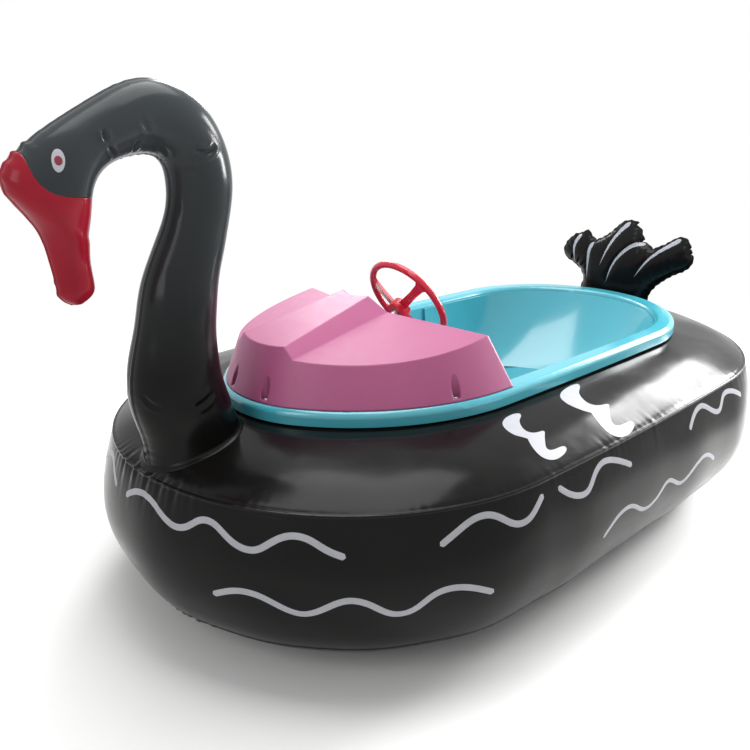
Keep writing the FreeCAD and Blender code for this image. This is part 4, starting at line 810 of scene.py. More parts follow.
def beak_starts():
    """Place along each column where red meets black, a little smoothed."""
    first, last = BEAK_SEARCH
    places = np.linspace(neck_length * first, neck_length * last, BEAK_SEARCH_STEPS)
    starts = np.full(NECK_COLUMNS, np.nan)
    for column, turn in enumerate(neck_turns):
        side = np.sign(beak_side(neck_points(places, np.full_like(places, turn))))
        crossed = np.nonzero((side[:-1] < 0) & (side[1:] >= 0))[0]
        if not len(crossed):
            crossed = np.nonzero(side[:-1] != side[1:])[0]
        if len(crossed):
            starts[column] = places[crossed[0]]
    known = ~np.isnan(starts)
    starts = np.interp(neck_turns, neck_turns[known], starts[known], period=2 * np.pi)
    around = np.concatenate((starts[-2:], starts, starts[:2]))
    return np.convolve(around, SMOOTHING, mode="valid")


red_from = beak_starts()
print("red starts between", round(red_from.min(), 3), "and", round(red_from.max(), 3))

# %% [markdown]
# ## Creases
#
# Where the neck bends hardest its film has too little room and buckles into
# a few sharp creases. They are not repeated like pleats: each has its own
# place. So each is drawn over the photograph, found on the bare neck through
# the camera, and pressed in with a soft ridge on either side. The starboard
# side gets the same ones, mirrored.

# %% Creases of the neck
NECK_CREASES = (
    # pixels along the crease, depth and half width in millimetres
    (((194, 151), (203, 153), (211, 151), (214, 144)), 5.5, 4.5),
    (((104, 129), (105, 135), (107, 142)), 5.0, 3.6),
    (((109, 146), (112, 151), (115, 157)), 3.5, 3.2),
    (((141, 120), (146, 126), (150, 133)), 2.0, 5.0),
    (((139, 141), (136, 147), (134, 152)), 3.5, 3.4),
    (((160, 146), (166, 150), (169, 157)), 2.5, 4.0),
    (((184, 163), (191, 167), (199, 166)), 2.5, 4.5),
    (((186, 196), (190, 207), (188, 222)), 1.8, 6.0),
    (((173, 265), (177, 300), (172, 335)), 1.6, 8.0),
    (((143, 395), (150, 404), (160, 408)), 3.0, 4.5),
    (((196, 408), (206, 402), (214, 392)), 3.5, 5.0),
)
BARE_ROWS, BARE_COLUMNS = 500, 96
# The ridge beside a crease, as shares of the crease's depth and half width
RIDGE_HEIGHT, RIDGE_OFF, RIDGE_WIDTH = 0.45, 2.3, 1.1
CREASE_FADE = 0.6
CREASE_STEPS = 12


def bare_neck_surface():
    """Search tree of the neck before its film is worked."""
    places = np.linspace(0, neck_length, BARE_ROWS)[:, None]
    turns = np.linspace(0, 2 * np.pi, BARE_COLUMNS, endpoint=False)[None, :]
    points = neck_points(*np.broadcast_arrays(places, turns)).reshape(-1, 3)
    return BVHTree.FromPolygons([Vector(p) for p in points], grid_faces(BARE_ROWS, BARE_COLUMNS))


def seen_on(surface, pixel):
    """Point of a surface that the camera sees at a pixel, or None."""
    return surface.ray_cast(CAMERA_AT, pixel_ray(pixel))[0]


neck_bare = bare_neck_surface()
crease_lines = []
for pixels, depth, width in NECK_CREASES:
    found = [seen_on(neck_bare, pixel) for pixel in pixels]
    found = [tuple(point) for point in found if point is not None]
    if len(found) > 2:
        crease_lines.append((cubic(found, CREASE_STEPS, chord=3), depth * MM, width * MM))
print("creases found on the neck:", len(crease_lines), "of", len(NECK_CREASES))


def crease_lift(grid):
    """Valley of each crease, with a low ridge beside it, on both sides of the neck."""
    points = grid.reshape(-1, 3).copy()
    points[:, 1] = np.abs(points[:, 1])
    lift = np.zeros(len(points))
    for line, depth, width in crease_lines:
        gap, along, length = gaps_to(points, line)
        fade = np.sin(np.pi * np.clip(along / length, 0, 1)) ** CREASE_FADE
        ridge = RIDGE_HEIGHT * bell(gap - RIDGE_OFF * width, RIDGE_WIDTH * width)
        lift += depth * fade * (ridge - bell(gap, width))
    return lift.reshape(grid.shape[:2])


# %% [markdown]
# ## Neck, head and beak: the skins
#
# The weld runs along the crown and the throat. It puckers most round the
# knob of the beak, at the top of the arch and at the chin. The long panels
# between are nearly smooth, with only the slow unevenness of a welded tube.

# %% Work the neck's film
NECK_ROWS = 430
BEAK_ROWS = 120
ROW_CROWDING = 0.97
PUCKER, PUCKER_REACH = 0.0015, 0.016
LEAST_PUCKER = 0.10
NECK_BEAD, NECK_BEAD_WIDTH = 0.0030, 0.0026
NECK_GROOVE, NECK_GROOVE_WIDTH = 0.0012, 0.009
NECK_SLACK = 0.0022
MEAN_NECK_RADIUS = 0.44 * NECK_GIRTH
CROWN_PUCKERS = (
    # share of the neck's length, share that it spreads over, strength
    (0.835, 0.035, 2.3), (0.588, 0.012, 0.9), (0.665, 0.012, 0.6),
    (0.985, 0.020, 0.6), (0.02, 0.03, 0.6),
)
THROAT_PUCKERS = ((0.66, 0.035, 0.9), (0.56, 0.020, 0.5), (0.78, 0.020, 0.5), (0.02, 0.03, 0.6))


def neck_lift(places, turns):
    """How far welds, puckers and slack lift the film."""
    share = places / neck_length
    lift = np.zeros_like(places)
    crown = np.abs((turns + np.pi) % (2 * np.pi) - np.pi)
    throat = np.pi - crown
    for off, table, seed in ((crown, CROWN_PUCKERS, 21), (throat, THROAT_PUCKERS, 22)):
        off = off * MEAN_NECK_RADIUS
        strength = LEAST_PUCKER + sum(much * bell(share - at, width) for at, width, much in table)
        fine = ripples(places, neck_length, longest=0.036, shortest=0.017, count=6, seed=seed)
        lift += PUCKER * fine * strength * np.exp(-(off / PUCKER_REACH) ** PLEAT_FADE)
        lift += NECK_BEAD * bell(off, NECK_BEAD_WIDTH) - NECK_GROOVE * bell(off, NECK_GROOVE_WIDTH)
    slack = ripples(places, neck_length, longest=0.40, shortest=0.14, count=5, seed=23)
    return lift + NECK_SLACK * slack * np.sin(crown)


def neck_grid(places):
    """Film of the neck for rows of places, one column to each turn."""
    turns = np.broadcast_to(neck_turns[None, :], places.shape)
    bare = neck_points(places, turns)
    normal = grid_normals(bare)
    inward = neck_points(places, turns + np.pi) - bare
    normal *= -np.sign((inward * normal).sum(-1, keepdims=True))
    return bare + normal * (neck_lift(places, turns) + crease_lift(bare))[:, :, None]


def closed_tube(grid):
    """Points and faces of a tube of rows, with both ends closed by a fan."""
    rows, columns = grid.shape[:2]
    points = list(grid.reshape(-1, 3)) + [grid[0].mean(axis=0), grid[-1].mean(axis=0)]
    faces = grid_faces(rows, columns)
    last = (rows - 1) * columns
    for j in range(columns):
        k = (j + 1) % columns
        faces.append((rows * columns, k, j))
        faces.append((rows * columns + 1, last + j, last + k))
    return points, faces


down_neck = np.linspace(0, 1, NECK_ROWS)[:, None] ** ROW_CROWDING * red_from[None, :]
neck_skin = skin(
    "neck_skin", *closed_tube(neck_grid(down_neck)), black_film, "black_pvc", "neck_head",
)
down_beak = red_from + np.linspace(0, 1, BEAK_ROWS)[:, None] * (neck_length - red_from)
beak_skin = skin("beak_skin", *closed_tube(neck_grid(down_beak)), red_film, "red_pvc", "beak")
neck_surface = surface_of(neck_skin)
print("neck points:", len(neck_skin.data.vertices), "beak points:", len(beak_skin.data.vertices))

# %% [markdown]
# ## The collar
#
# The neck stands on the ring in a welded collar, a band of the same fabric.
# It is found rather than drawn: on each column the neck's bare line is
# followed up to where it leaves the ring, and the band spreads from there.
# The found line is averaged round the neck, because a welded band lies fair
# even where the films under it ripple.

# %% Collar
COLLAR_UP = 0.008
COLLAR_OUT = 0.011
COLLAR_THICK = 0.0010
COLLAR_TUCK = 0.003
COLLAR_FILLET = 0.0025
COLLAR_SWELL = (0.0008, 0.0012)
PART_WAY = 0.45
COLLAR_EDGE_OUT, COLLAR_EDGE_DOWN = 0.0015, 0.004
COLLAR_SEARCH, COLLAR_STEPS = 0.2, 300
HEADING_STEPS = 6
LEAVING_GAP = 0.0005
ABOVE_RING = 0.9
AVERAGE_OVER = 9


def ring_top(x, y):
    """Height of the ring's skin at a place in plan."""
    return tube_surface.ray_cast(Vector((x, y, ABOVE_RING)), Vector((0, 0, -1)))[0].z


def leaving_ring(turn):
    """Point and heading at which a column of the bare neck leaves the ring."""
    places = np.linspace(0, neck_length * COLLAR_SEARCH, COLLAR_STEPS)
    column = neck_points(places, np.full(COLLAR_STEPS, turn))
    for low, high in zip(column, column[HEADING_STEPS:]):
        if low[2] > ring_top(low[0], low[1]) + LEAVING_GAP:
            return low, (high - low) / np.linalg.norm(high - low)
    return column[-1], np.array((0.0, 0.0, 1.0))


def fair(rows):
    """Average of a closed run of points over its neighbours."""
    half = AVERAGE_OVER // 2
    return sum(np.roll(rows, step, axis=0) for step in range(-half, half + 1)) / AVERAGE_OVER


met, heading = (fair(np.array(rows)) for rows in zip(*(leaving_ring(turn) for turn in neck_turns)))
outward = met[:, :2] - met[:, :2].mean(axis=0)
outward /= np.linalg.norm(outward, axis=1, keepdims=True)
outward = np.concatenate((outward, np.zeros((NECK_COLUMNS, 1))), axis=1)
spread = met + outward * COLLAR_OUT
spread[:, 2] = fair(np.array([ring_top(x, y) for x, y, _ in spread]))
up = np.array((0.0, 0.0, 1.0))
collar_rows = np.array([
    met + heading * COLLAR_UP - outward * COLLAR_TUCK,
    met + heading * COLLAR_UP + outward * COLLAR_THICK,
    met + heading * COLLAR_UP * PART_WAY + outward * (COLLAR_THICK + COLLAR_SWELL[0]),
    met + outward * COLLAR_TUCK + up * COLLAR_FILLET,
    met * PART_WAY + spread * (1 - PART_WAY) + up * (COLLAR_THICK + COLLAR_SWELL[1]),
    spread + up * COLLAR_THICK,
    spread + outward * COLLAR_EDGE_OUT - up * COLLAR_EDGE_DOWN,
])
collar = skin(
    "neck_collar", collar_rows.reshape(-1, 3),
    grid_faces(len(collar_rows), NECK_COLUMNS, close_rows=True), black_film, "black_pvc",
)
rounder = collar.modifiers.new("rounder", "SUBSURF")
rounder.levels = rounder.render_levels = 1
print("collar width in mm:", round(np.ptp(met[:, 1]) / MM))

# %% [markdown]
# ## Screen ink
#
# The marks are screen printed: flexible vinyl ink pushed through a stencil
# before the panels are welded. It dries to a thin satin layer, duller than
# the film round it, and slightly cloudy where it went on thin. The prints
# are pieces of their own, half a millimetre proud, so that their edges stay
# as crisp as a stencil's.

# %% Vinyl screen ink
def vinyl_ink(name, thick, thin):
    """Ink colours where it went on thick and thin."""
    material, tree, place = new_material(name)
    patchy = add(tree, "ShaderNodeTexNoise", {"Vector": place, "Scale": per_metre(25), "Detail": 4.0})
    tint = add(tree, "ShaderNodeMix", {
        "Factor": patchy.outputs["Fac"], "A": colour(thick), "B": colour(thin),
    }, data_type="RGBA")
    # The stencil's mesh is 0.1 mm, drawn at 1.5 mm so that it shows close up
    mesh_print = add(tree, "ShaderNodeTexNoise", {"Vector": place, "Scale": per_metre(1.5)})
    gloss = add(tree, "ShaderNodeMapRange", {
        "Value": mesh_print.outputs["Fac"], "To Min": 0.34, "To Max": 0.5,
    })
    grain = add(tree, "ShaderNodeBump", {
        "Height": mesh_print.outputs["Fac"], "Distance": 0.04 * MM, "Strength": 0.4,
    })
    shader = add(tree, "ShaderNodeBsdfPrincipled", {
        "Base Color": tint.outputs["Result"], "Roughness": gloss.outputs["Result"],
        "Normal": grain.outputs["Normal"], "IOR": 1.48, "Specular IOR Level": 0.35,
    })
    add(tree, "ShaderNodeOutputMaterial", {"Surface": shader.outputs["BSDF"]})
    return material


white_ink = vinyl_ink("white_vinyl_ink", "#B2B3BA", "#A6A7AE")
# Along the waterline the same white ink is painted a darker grey: painted shade for the dim side of
# the ring
shade_painted_ink = vinyl_ink("white_vinyl_ink_with_painted_shade", "#A4A5AA", "#909196")
eye_ink = vinyl_ink("dull_red_vinyl_ink", "#863242", "#722A39")
print("inks:", white_ink.name, shade_painted_ink.name, eye_ink.name)

# %% [markdown]
# ## Eyes
#
# Each eye is a tall white oval with a dull red spot. An oval is laid out in
# rings on a flat plane beside the head, and each of its points is then
# dropped sideways onto the skin, so the print follows the head's curve.

# %% Eyes
EYE_AT = (1.0430, 1.0910)
# Half width and half height
EYE_WHITE = (0.0106, 0.0200)
EYE_SPOT = (0.0070, 0.0088)
EYE_WHITE_LIFT = 0.0005
EYE_SPOT_LIFT = 0.0010
EYE_EDGE_LIFT = 0.0002
EYE_CENTRE_SHARE = 0.02
BESIDE_HEAD = 0.5
EYE_TILT = math.radians(12)
EYE_RINGS = 7
EYE_STEPS = 48


def oval(name, radii, side, lift, ink):
    """Oval print on one side of the head."""
    points = []
    for ring_index in range(EYE_RINGS):
        reach = max(EYE_CENTRE_SHARE, ring_index / (EYE_RINGS - 1))
        for step in range(EYE_STEPS):
            angle = 2 * math.pi * step / EYE_STEPS
            u, v = radii[0] * reach * math.cos(angle), radii[1] * reach * math.sin(angle)
            x = EYE_AT[0] + u * math.cos(EYE_TILT) - v * math.sin(EYE_TILT)
            z = EYE_AT[1] + u * math.sin(EYE_TILT) + v * math.cos(EYE_TILT)
            beside = Vector((x, side * BESIDE_HEAD, z))
            hit, normal = neck_surface.ray_cast(beside, Vector((0, -side, 0)))[:2]
            points.append(hit + normal * (lift if ring_index < EYE_RINGS - 1 else EYE_EDGE_LIFT))
    faces = grid_faces(EYE_RINGS, EYE_STEPS) + [tuple(reversed(range(EYE_STEPS)))]
    return skin(name, points, faces, ink, over=neck_surface)


for side, label in ((1, "port"), (-1, "starboard")):
    oval("eye_white_" + label, EYE_WHITE, side, EYE_WHITE_LIFT, white_ink)
    oval("eye_spot_" + label, EYE_SPOT, side, EYE_SPOT_LIFT, eye_ink)
print("eyes printed")

# %% [markdown]
# ## The tail: its outline
#
# The tail is a flat air-filled cushion, cut as five curled feathers from two
# layers and welded round the edge. Its outline was drawn over an enlarged
# part of the photograph. A line of sight through each drawn place is
# followed to the tail's own upright plane, which gives its real shape.

# %% Tail outline
TAIL_X = -0.947
TAIL_FOOT_Z = 0.405
TAIL_EDGE_SPACING = 0.0035
TAIL_FOOT_SPACING = 0.0045
TAIL_RUN_STEPS = 80
# Left and top pixel of the enlarged part, and how much it is enlarged
TAIL_CROP = (555.0, 212.0, 10.81)
TAIL_RUNS = (
    # places in the enlarged part, each run smooth and each corner sharp
    ((290, 790), (315, 700), (300, 640), (250, 570), (190, 520), (128, 472)),
    ((128, 472), (108, 410), (122, 350), (168, 290), (235, 238)),
    ((235, 238), (290, 228), (330, 212), (362, 196)),
    ((362, 196), (382, 222), (402, 258), (452, 308)),
    ((452, 308), (540, 268), (640, 200), (722, 128), (800, 96), (902, 116)),
    ((902, 116), (884, 130), (874, 148)),
    ((874, 148), (916, 172), (940, 215), (946, 252), (968, 296)),
    ((968, 296), (945, 306), (928, 318)),
    ((928, 318), (968, 336), (1002, 352), (1044, 388)),
    ((1044, 388), (1052, 400), (1062, 410)),
    ((1062, 410), (1120, 386), (1210, 350), (1300, 300), (1395, 286), (1440, 318), (1464, 384)),
    ((1464, 384), (1456, 396), (1450, 404)),
    ((1450, 404), (1468, 420), (1480, 446)),
    ((1480, 446), (1466, 456), (1460, 468)),
    ((1460, 468), (1490, 494), (1486, 532), (1450, 590), (1380, 640)),
    ((1380, 640), (1250, 690), (1180, 730), (1080, 800), (1020, 870), (990, 930)),
)


def on_tail_plane(place):
    """Side and height, in the tail's plane, of a place in the enlarged part."""
    left, top, scale = TAIL_CROP
    ray = pixel_ray((left + place[0] / scale, top + place[1] / scale))
    at = CAMERA_AT + ray * ((TAIL_X - CAMERA_AT.x) / ray.x)
    return at.y, at.z


def tail_outline():
    """Closed outline in the tail's plane, with its corners kept sharp."""
    outline = []
    for run in TAIL_RUNS:
        line = cubic([on_tail_plane(place) for place in run], TAIL_RUN_STEPS)
        outline.extend(respaced(line, lambda here: TAIL_EDGE_SPACING)[:-1])
    first, last = outline[0], np.array(on_tail_plane(TAIL_RUNS[-1][-1]))
    corners = (last, (last[0], TAIL_FOOT_Z), (first[0], TAIL_FOOT_Z), first)
    for start, end in zip(corners, corners[1:]):
        outline.extend(respaced(np.array([start, end]), lambda here: TAIL_FOOT_SPACING)[:-1])
    return np.array(outline)


tail_edge = tail_outline()
print("tail width and height:", [round(v, 3) for v in np.ptp(tail_edge, axis=0)])

# %% [markdown]
# ## The tail: blown up
#
# Cloth simulation could blow the cushion up, but a simpler rule gives the
# same form and is exact each time. A film stretched over an opening and
# pushed from below sinks to nothing at its edge and rises most where the
# edge is far: each point settles at the average of its neighbours plus a
# small push. The square root of that gives the round shoulders of a cushion.

# %% Fill and blow up
TAIL_SPACING = 0.0052
SETTLING_STEPS = 2600
ROW_STEP = 0.866
EDGE_ROOM = 0.6
ON_EDGE = 1e-5
MERGED_WITHIN = 1e-7


def fill_outline(outline, spacing):
    """Even triangles inside a closed outline: points and triangles."""
    low, high = outline.min(axis=0), outline.max(axis=0)
    rows = []
    for i, v in enumerate(np.arange(low[1], high[1], spacing * ROW_STEP)):
        u = np.arange(low[0] + (i % 2) * spacing / 2, high[0], spacing)
        rows.append(np.stack((u, np.full_like(u, v)), axis=1))
    inner = np.concatenate(rows)
    inner = inner[gaps_to(inner, outline, closed=True)[0] > spacing * EDGE_ROOM]
    count = len(outline)
    points = [Vector(p) for p in outline] + [Vector(p) for p in inner]
    edges = [(i, (i + 1) % count) for i in range(count)]
    made = geometry.delaunay_2d_cdt(points, edges, [], 1, MERGED_WITHIN)
    return np.array([tuple(p) for p in made[0]]), [tuple(face) for face in made[2]]


def blown_up(count, faces, held):
    """Height of a film blown up over an outline that stays down, 0 to 1."""
    pairs = np.array([(face[i], face[(i + 1) % 3]) for face in faces for i in range(3)])
    pairs = np.unique(np.concatenate((pairs, pairs[:, ::-1])), axis=0)
    neighbours = np.maximum(np.bincount(pairs[:, 0], minlength=count), 1)
    swell = np.zeros(count)
    for _ in range(SETTLING_STEPS):
        total = np.bincount(pairs[:, 0], weights=swell[pairs[:, 1]], minlength=count)
        swell = total / neighbours + 1.0
        swell[held] = 0.0
    return np.sqrt(swell / swell.max())


tail_flat, tail_faces = fill_outline(tail_edge, TAIL_SPACING)
tail_away, tail_along, tail_length = gaps_to(tail_flat, tail_edge, closed=True)
tail_held = tail_away < ON_EDGE
tail_swell = blown_up(len(tail_flat), tail_faces, tail_held)
print("tail triangles on one side:", len(tail_faces))

# %% [markdown]
# ## The tail: its skin
#
# Short folds run in from the weld, deeper in the narrow feather tips, and
# each printed stroke lies in a shallow channel. Round the edge is the flat
# flange that the welding tool leaves, a few millimetres wide and wavy,
# because the film next to it has drawn in.

# %% Tail skin
TAIL_HALF_THICK = 0.037
TAIL_EDGE_HALF = 0.0006
FOLD_DEPTH, TIP_FOLD_DEPTH = 0.08, 0.13
FOLD_REACH = 0.018
TIPS_FROM_Z, TIPS_FADE = 0.56, 0.12
CHANNEL_DEPTH, CHANNEL_WIDTH = 0.20, 0.010
FLANGE_WIDTH, FLANGE_WAVER, WAVER_TURN = 0.0035, 0.001, 0.9
FLANGE_WAVE, WAVE_TURN = 0.0012, 0.55
FILM_HALF = 0.0005
TAIL_STROKE_STEPS = 60
TAIL_STROKES = (
    # the middle of each printed stroke, from its blunt end to its point
    ((300, 238), (262, 290), (236, 350), (229, 430), (240, 545)),
    ((436, 322), (410, 378), (397, 470), (388, 590), (380, 700)),
    ((828, 112), (742, 190), (662, 292), (600, 405), (540, 556)),
    ((985, 345), (885, 352), (792, 412), (702, 512), (650, 612), (610, 738)),
    ((1372, 300), (1272, 352), (1135, 432), (1030, 522), (960, 610), (905, 690)),
)


def tail_height():
    """Half thickness of the tail at each point, folds and channels included."""
    height = tail_swell * TAIL_HALF_THICK
    folds = ripples(tail_along, tail_length, longest=0.034, shortest=0.015, count=6, seed=31)
    narrow = np.clip((tail_flat[:, 1] - TIPS_FROM_Z) / TIPS_FADE, 0, 1)
    fold_depth = FOLD_DEPTH + TIP_FOLD_DEPTH * narrow
    height *= 1 + fold_depth * folds * np.exp(-tail_away / FOLD_REACH)
    for stroke in TAIL_STROKES:
        line = cubic([on_tail_plane(place) for place in stroke], TAIL_STROKE_STEPS)
        gap, along, length = gaps_to(tail_flat, line)
        height *= 1 - CHANNEL_DEPTH * (1 - (along / length) ** 2) * bell(gap, CHANNEL_WIDTH)
    height[tail_held] = TAIL_EDGE_HALF
    return height


def edge_outward():
    """Direction out of the tail's outline at each of its points."""
    run = np.roll(tail_edge, -1, axis=0) - np.roll(tail_edge, 1, axis=0)
    out = np.stack((-run[:, 1], run[:, 0]), axis=1)
    out /= np.linalg.norm(out, axis=1, keepdims=True)
    inside_out = (out * (tail_edge - tail_edge.mean(axis=0))).sum() < 0
    return -out if inside_out else out


def tail_points_faces():
    """Both layers of the tail and the flange between them."""
    height = tail_height()
    count, around = len(tail_flat), len(tail_edge)
    step = np.arange(around)
    width = FLANGE_WIDTH + FLANGE_WAVER * np.sin(step * WAVER_TURN)
    flange = tail_edge + edge_outward() * width[:, None]
    wave = FLANGE_WAVE * np.sin(step * WAVE_TURN)
    points = np.concatenate([
        np.column_stack((TAIL_X + offset, flat))
        for offset, flat in (
            (height, tail_flat), (-height, tail_flat),
            (wave + FILM_HALF, flange), (wave - FILM_HALF, flange),
        )
    ])
    ring_ids = [int(np.argmin(np.linalg.norm(tail_flat - p, axis=1))) for p in tail_edge]
    faces = list(tail_faces) + [tuple(count + i for i in reversed(face)) for face in tail_faces]
    front, back = 2 * count, 2 * count + around
    for i in range(around):
        k = (i + 1) % around
        a, b = ring_ids[i], ring_ids[k]
        faces += [
            (a, b, front + k, front + i),
            (count + b, count + a, back + i, back + k),
            (front + i, front + k, back + k, back + i),
        ]
    return points, faces


tail_skin = skin("tail_skin", *tail_points_faces(), black_film, "black_pvc", "tail_fan")
tail_surface = surface_of(tail_skin)
print("tail points:", len(tail_skin.data.vertices))

# %% [markdown]
# ## Printed lines
#
# Wavy water lines run round the side, and a tapered stroke lies on each tail
# feather. A curve object would float or sink on a swollen skin. So each line
# is a ribbon: its middle is a smooth curve, and every point of it is moved
# to the nearest point of the skin that carries it.

# %% Ribbons of ink
INK_LIFT = 0.0005
RIBBON_SPACING = 0.0045
STEPS_TO_A_PLACE = 40
LEAST_HALF_WIDTH = 0.0003
EDGE_LIFT = 0.4 * INK_LIFT
ACROSS = (-1.0, -0.55, 0.0, 0.55, 1.0)
TAPER, BLUNT_WIDTH, BLUNT_LENGTH = 0.8, 0.25, 1.6


def round_ended(from_start, from_end, half_width):
    """Half width of a line with round ends."""
    near = min(1.0, min(from_start, from_end) / half_width)
    return half_width * math.sqrt(max(0.0, 1 - (1 - near) ** 2))


def tapered(from_start, from_end, half_width):
    """Half width of a stroke that starts blunt and runs out to a point."""
    share = from_start / (from_start + from_end)
    blunt = min(1.0, BLUNT_WIDTH + from_start / (half_width * BLUNT_LENGTH))
    return half_width * (1 - share) ** TAPER * blunt


def ribbon(name, line, surface, half_width, width_of, ink):
    """Strip of ink along a line on a surface."""
    line = np.array([tuple(point) for point in line])
    line = cubic(line, STEPS_TO_A_PLACE * len(line), chord=3)
    line = respaced(line, lambda here: RIBBON_SPACING)
    lengths = lengths_along(line)
    points = []
    for i, here in enumerate(line):
        at, normal = surface.find_nearest(Vector(here))[:2]
        run = Vector(line[min(i + 1, len(line) - 1)] - line[max(i - 1, 0)])
        across = normal.cross(run).normalized()
        half = max(LEAST_HALF_WIDTH, width_of(lengths[i], lengths[-1] - lengths[i], half_width))
        for step in ACROSS:
            spot, out = surface.find_nearest(at + across * step * half)[:2]
            points.append(spot + out * (INK_LIFT if abs(step) < 1 else EDGE_LIFT))
    faces = grid_faces(len(line), len(ACROSS), close_columns=False)
    return skin(name, points, faces, ink, over=surface)


def mirrored(made, name, surface):
    """The same print on the starboard side, laid on the skin as it swells there."""
    data = made.data.copy()
    for vertex in data.vertices:
        lift = (vertex.co - surface.find_nearest(vertex.co)[0]).length
        spot, out = surface.find_nearest(Vector((vertex.co.x, -vertex.co.y, vertex.co.z)))[:2]
        vertex.co = spot + out * lift
    data.flip_normals()
    other = bpy.data.objects.new(name, data)
    scene.collection.objects.link(other)
    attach(other, "boat")
    return other


print("points across a ribbon:", len(ACROSS))

# %% Water lines
WATER_LINES = (
    # half width in millimetres, then the pixels it follows
    (7.0, (
        (126, 495), (137, 491.5), (149, 498), (162, 515), (177, 527), (188, 526), (201, 520),
        (211, 522), (225, 535), (240, 547), (255, 550), (272, 542), (290, 536), (307, 539),
        (326, 550), (346, 558),
    )),
    (7.0, (
        (213, 594), (240, 591), (259, 596), (281, 607), (303, 614), (324, 609), (348, 601),
        (370, 605), (394, 614), (411, 611), (434, 595), (453, 588), (474, 588), (494, 592),
    )),
    (7.0, (
        (440, 546), (458, 531), (474, 519), (491, 515), (503, 519), (517, 524), (529, 519),
        (537, 507), (543, 494),
    )),
    (7.0, (
        (558, 487), (573, 495), (588, 491), (595, 474), (602, 463), (614, 460), (632, 465),
    )),
    (5.6, (
        (603, 538), (616, 519), (632, 506), (644, 509), (658, 496), (668, 481), (680, 483),
        (694, 468), (706, 455), (714, 459),
    )),
    (7.0, (
        (690, 430), (694, 415), (701, 406), (710, 409), (720, 409), (723, 396), (729, 391),
        (741, 395),
    )),
)
# Round the bow the starboard line starts apart from the port one, and higher
STARBOARD_BOW = ((117, 486), (114.5, 470), (113.5, 457))
STARBOARD_SKIPS = 8


def seen_line(pixels):
    """Points on the ring at the pixels that meet it."""
    found = [seen_on(tube_surface, pixel) for pixel in pixels]
    return [point for point in found if point is not None]


# The water lines take the white ink with painted shade
for index, (half_mm, pixels) in enumerate(WATER_LINES, 1):
    line = seen_line(pixels)
    made = ribbon(f"wave_{index}_port", line, tube_surface, half_mm * MM, round_ended, shade_painted_ink)
    if index == 1:
        across = [Vector((point.x, -point.y, point.z)) for point in line[STARBOARD_SKIPS:]]
        line = seen_line(STARBOARD_BOW) + across
        ribbon("wave_1_starboard", line, tube_surface, half_mm * MM, round_ended, shade_painted_ink)
    else:
        mirrored(made, f"wave_{index}_starboard", tube_surface)
print("water lines on each side:", len(WATER_LINES))

# %% Feather strokes on the tail
FEATHER_HALF_WIDTH = 0.0085
BESIDE_TAIL = 0.3

for index, stroke in enumerate(TAIL_STROKES, 1):
    for way, label in ((1, "front"), (-1, "back")):
        line = []
        for y, z in map(on_tail_plane, stroke):
            beside = Vector((TAIL_X + way * BESIDE_TAIL, y, z))
            hit = tail_surface.ray_cast(beside, Vector((-way, 0, 0)))[0]
            if hit is not None:
                line.append(hit)
        name = f"feather_{index}_{label}"
        ribbon(name, line, tail_surface, FEATHER_HALF_WIDTH, tapered, white_ink)
print("feather strokes on each face:", len(TAIL_STROKES))

# %% [markdown]
# ## Shoulder strokes
#
# Two fat curled strokes on each shoulder stand for wing feathers. They are
# too broad for a ribbon, so they are filled shapes: the outline is drawn
# over an enlarged part of the photograph, filled with small triangles, and
# each point is sent along its line of sight onto the ring.

# %% Shoulder strokes
# Left and top pixel of the enlarged part, and how much it is enlarged
SHOULDER_CROP = (490.0, 375.0, 9.8)
SHOULDER_STROKES = (
    # for each stroke its smooth runs, with sharp corners between them
    (
        (
            (275, 378), (297, 384), (303, 402), (290, 440), (300, 490), (340, 540), (400, 565),
            (460, 563), (512, 548),
        ),
        (
            (512, 548), (533, 556), (536, 590), (539, 650), (546, 700), (566, 728), (600, 735),
            (645, 724), (695, 703), (728, 700), (748, 718), (746, 745), (728, 772), (690, 806),
            (640, 829), (590, 832), (530, 815), (480, 782), (430, 728), (395, 676), (368, 626),
        ),
        (
            (368, 626), (325, 612), (260, 595), (190, 560), (142, 518), (122, 480), (135, 442),
            (180, 405), (235, 383), (275, 378),
        ),
    ),
    (
        (
            (842, 90), (868, 92), (880, 112), (872, 165), (900, 225), (960, 275), (1020, 295),
            (1080, 297), (1140, 284),
        ),
        (
            (1140, 284), (1164, 292), (1169, 325), (1175, 390), (1190, 450), (1215, 485),
            (1252, 495), (1312, 478), (1370, 456), (1402, 466), (1413, 495), (1400, 532),
            (1362, 580), (1312, 605), (1260, 608), (1200, 590), (1140, 550), (1090, 500),
            (1040, 440), (992, 372),
        ),
        (
            (992, 372), (930, 355), (860, 330), (780, 295), (717, 252), (688, 212), (700, 170),
            (740, 135), (796, 104), (842, 90),
        ),
    ),
)
SHOULDER_RUN_STEPS = 160
SHOULDER_EDGE_PX = 0.9
SHOULDER_FILL_PX = 1.3


def shoulder_stroke(name, runs):
    """Filled print on the port shoulder."""
    left, top, scale = SHOULDER_CROP
    outline = []
    for run in runs:
        knots = [(left + x / scale, top + y / scale) for x, y in run]
        line = cubic(knots, SHOULDER_RUN_STEPS)
        outline.extend(respaced(line, lambda here: SHOULDER_EDGE_PX)[:-1])
    flat, faces = fill_outline(np.array(outline), SHOULDER_FILL_PX)
    points = []
    for pixel in flat:
        at, normal = tube_surface.ray_cast(CAMERA_AT, pixel_ray(pixel))[:2]
        points.append(at + normal * INK_LIFT)
    return skin(name, points, faces, white_ink, over=tube_surface)


for index, runs in enumerate(SHOULDER_STROKES, 1):
    made = shoulder_stroke(f"shoulder_stroke_{index}_port", runs)
    mirrored(made, f"shoulder_stroke_{index}_starboard", tube_surface)
print("shoulder strokes on each side:", len(SHOULDER_STROKES))

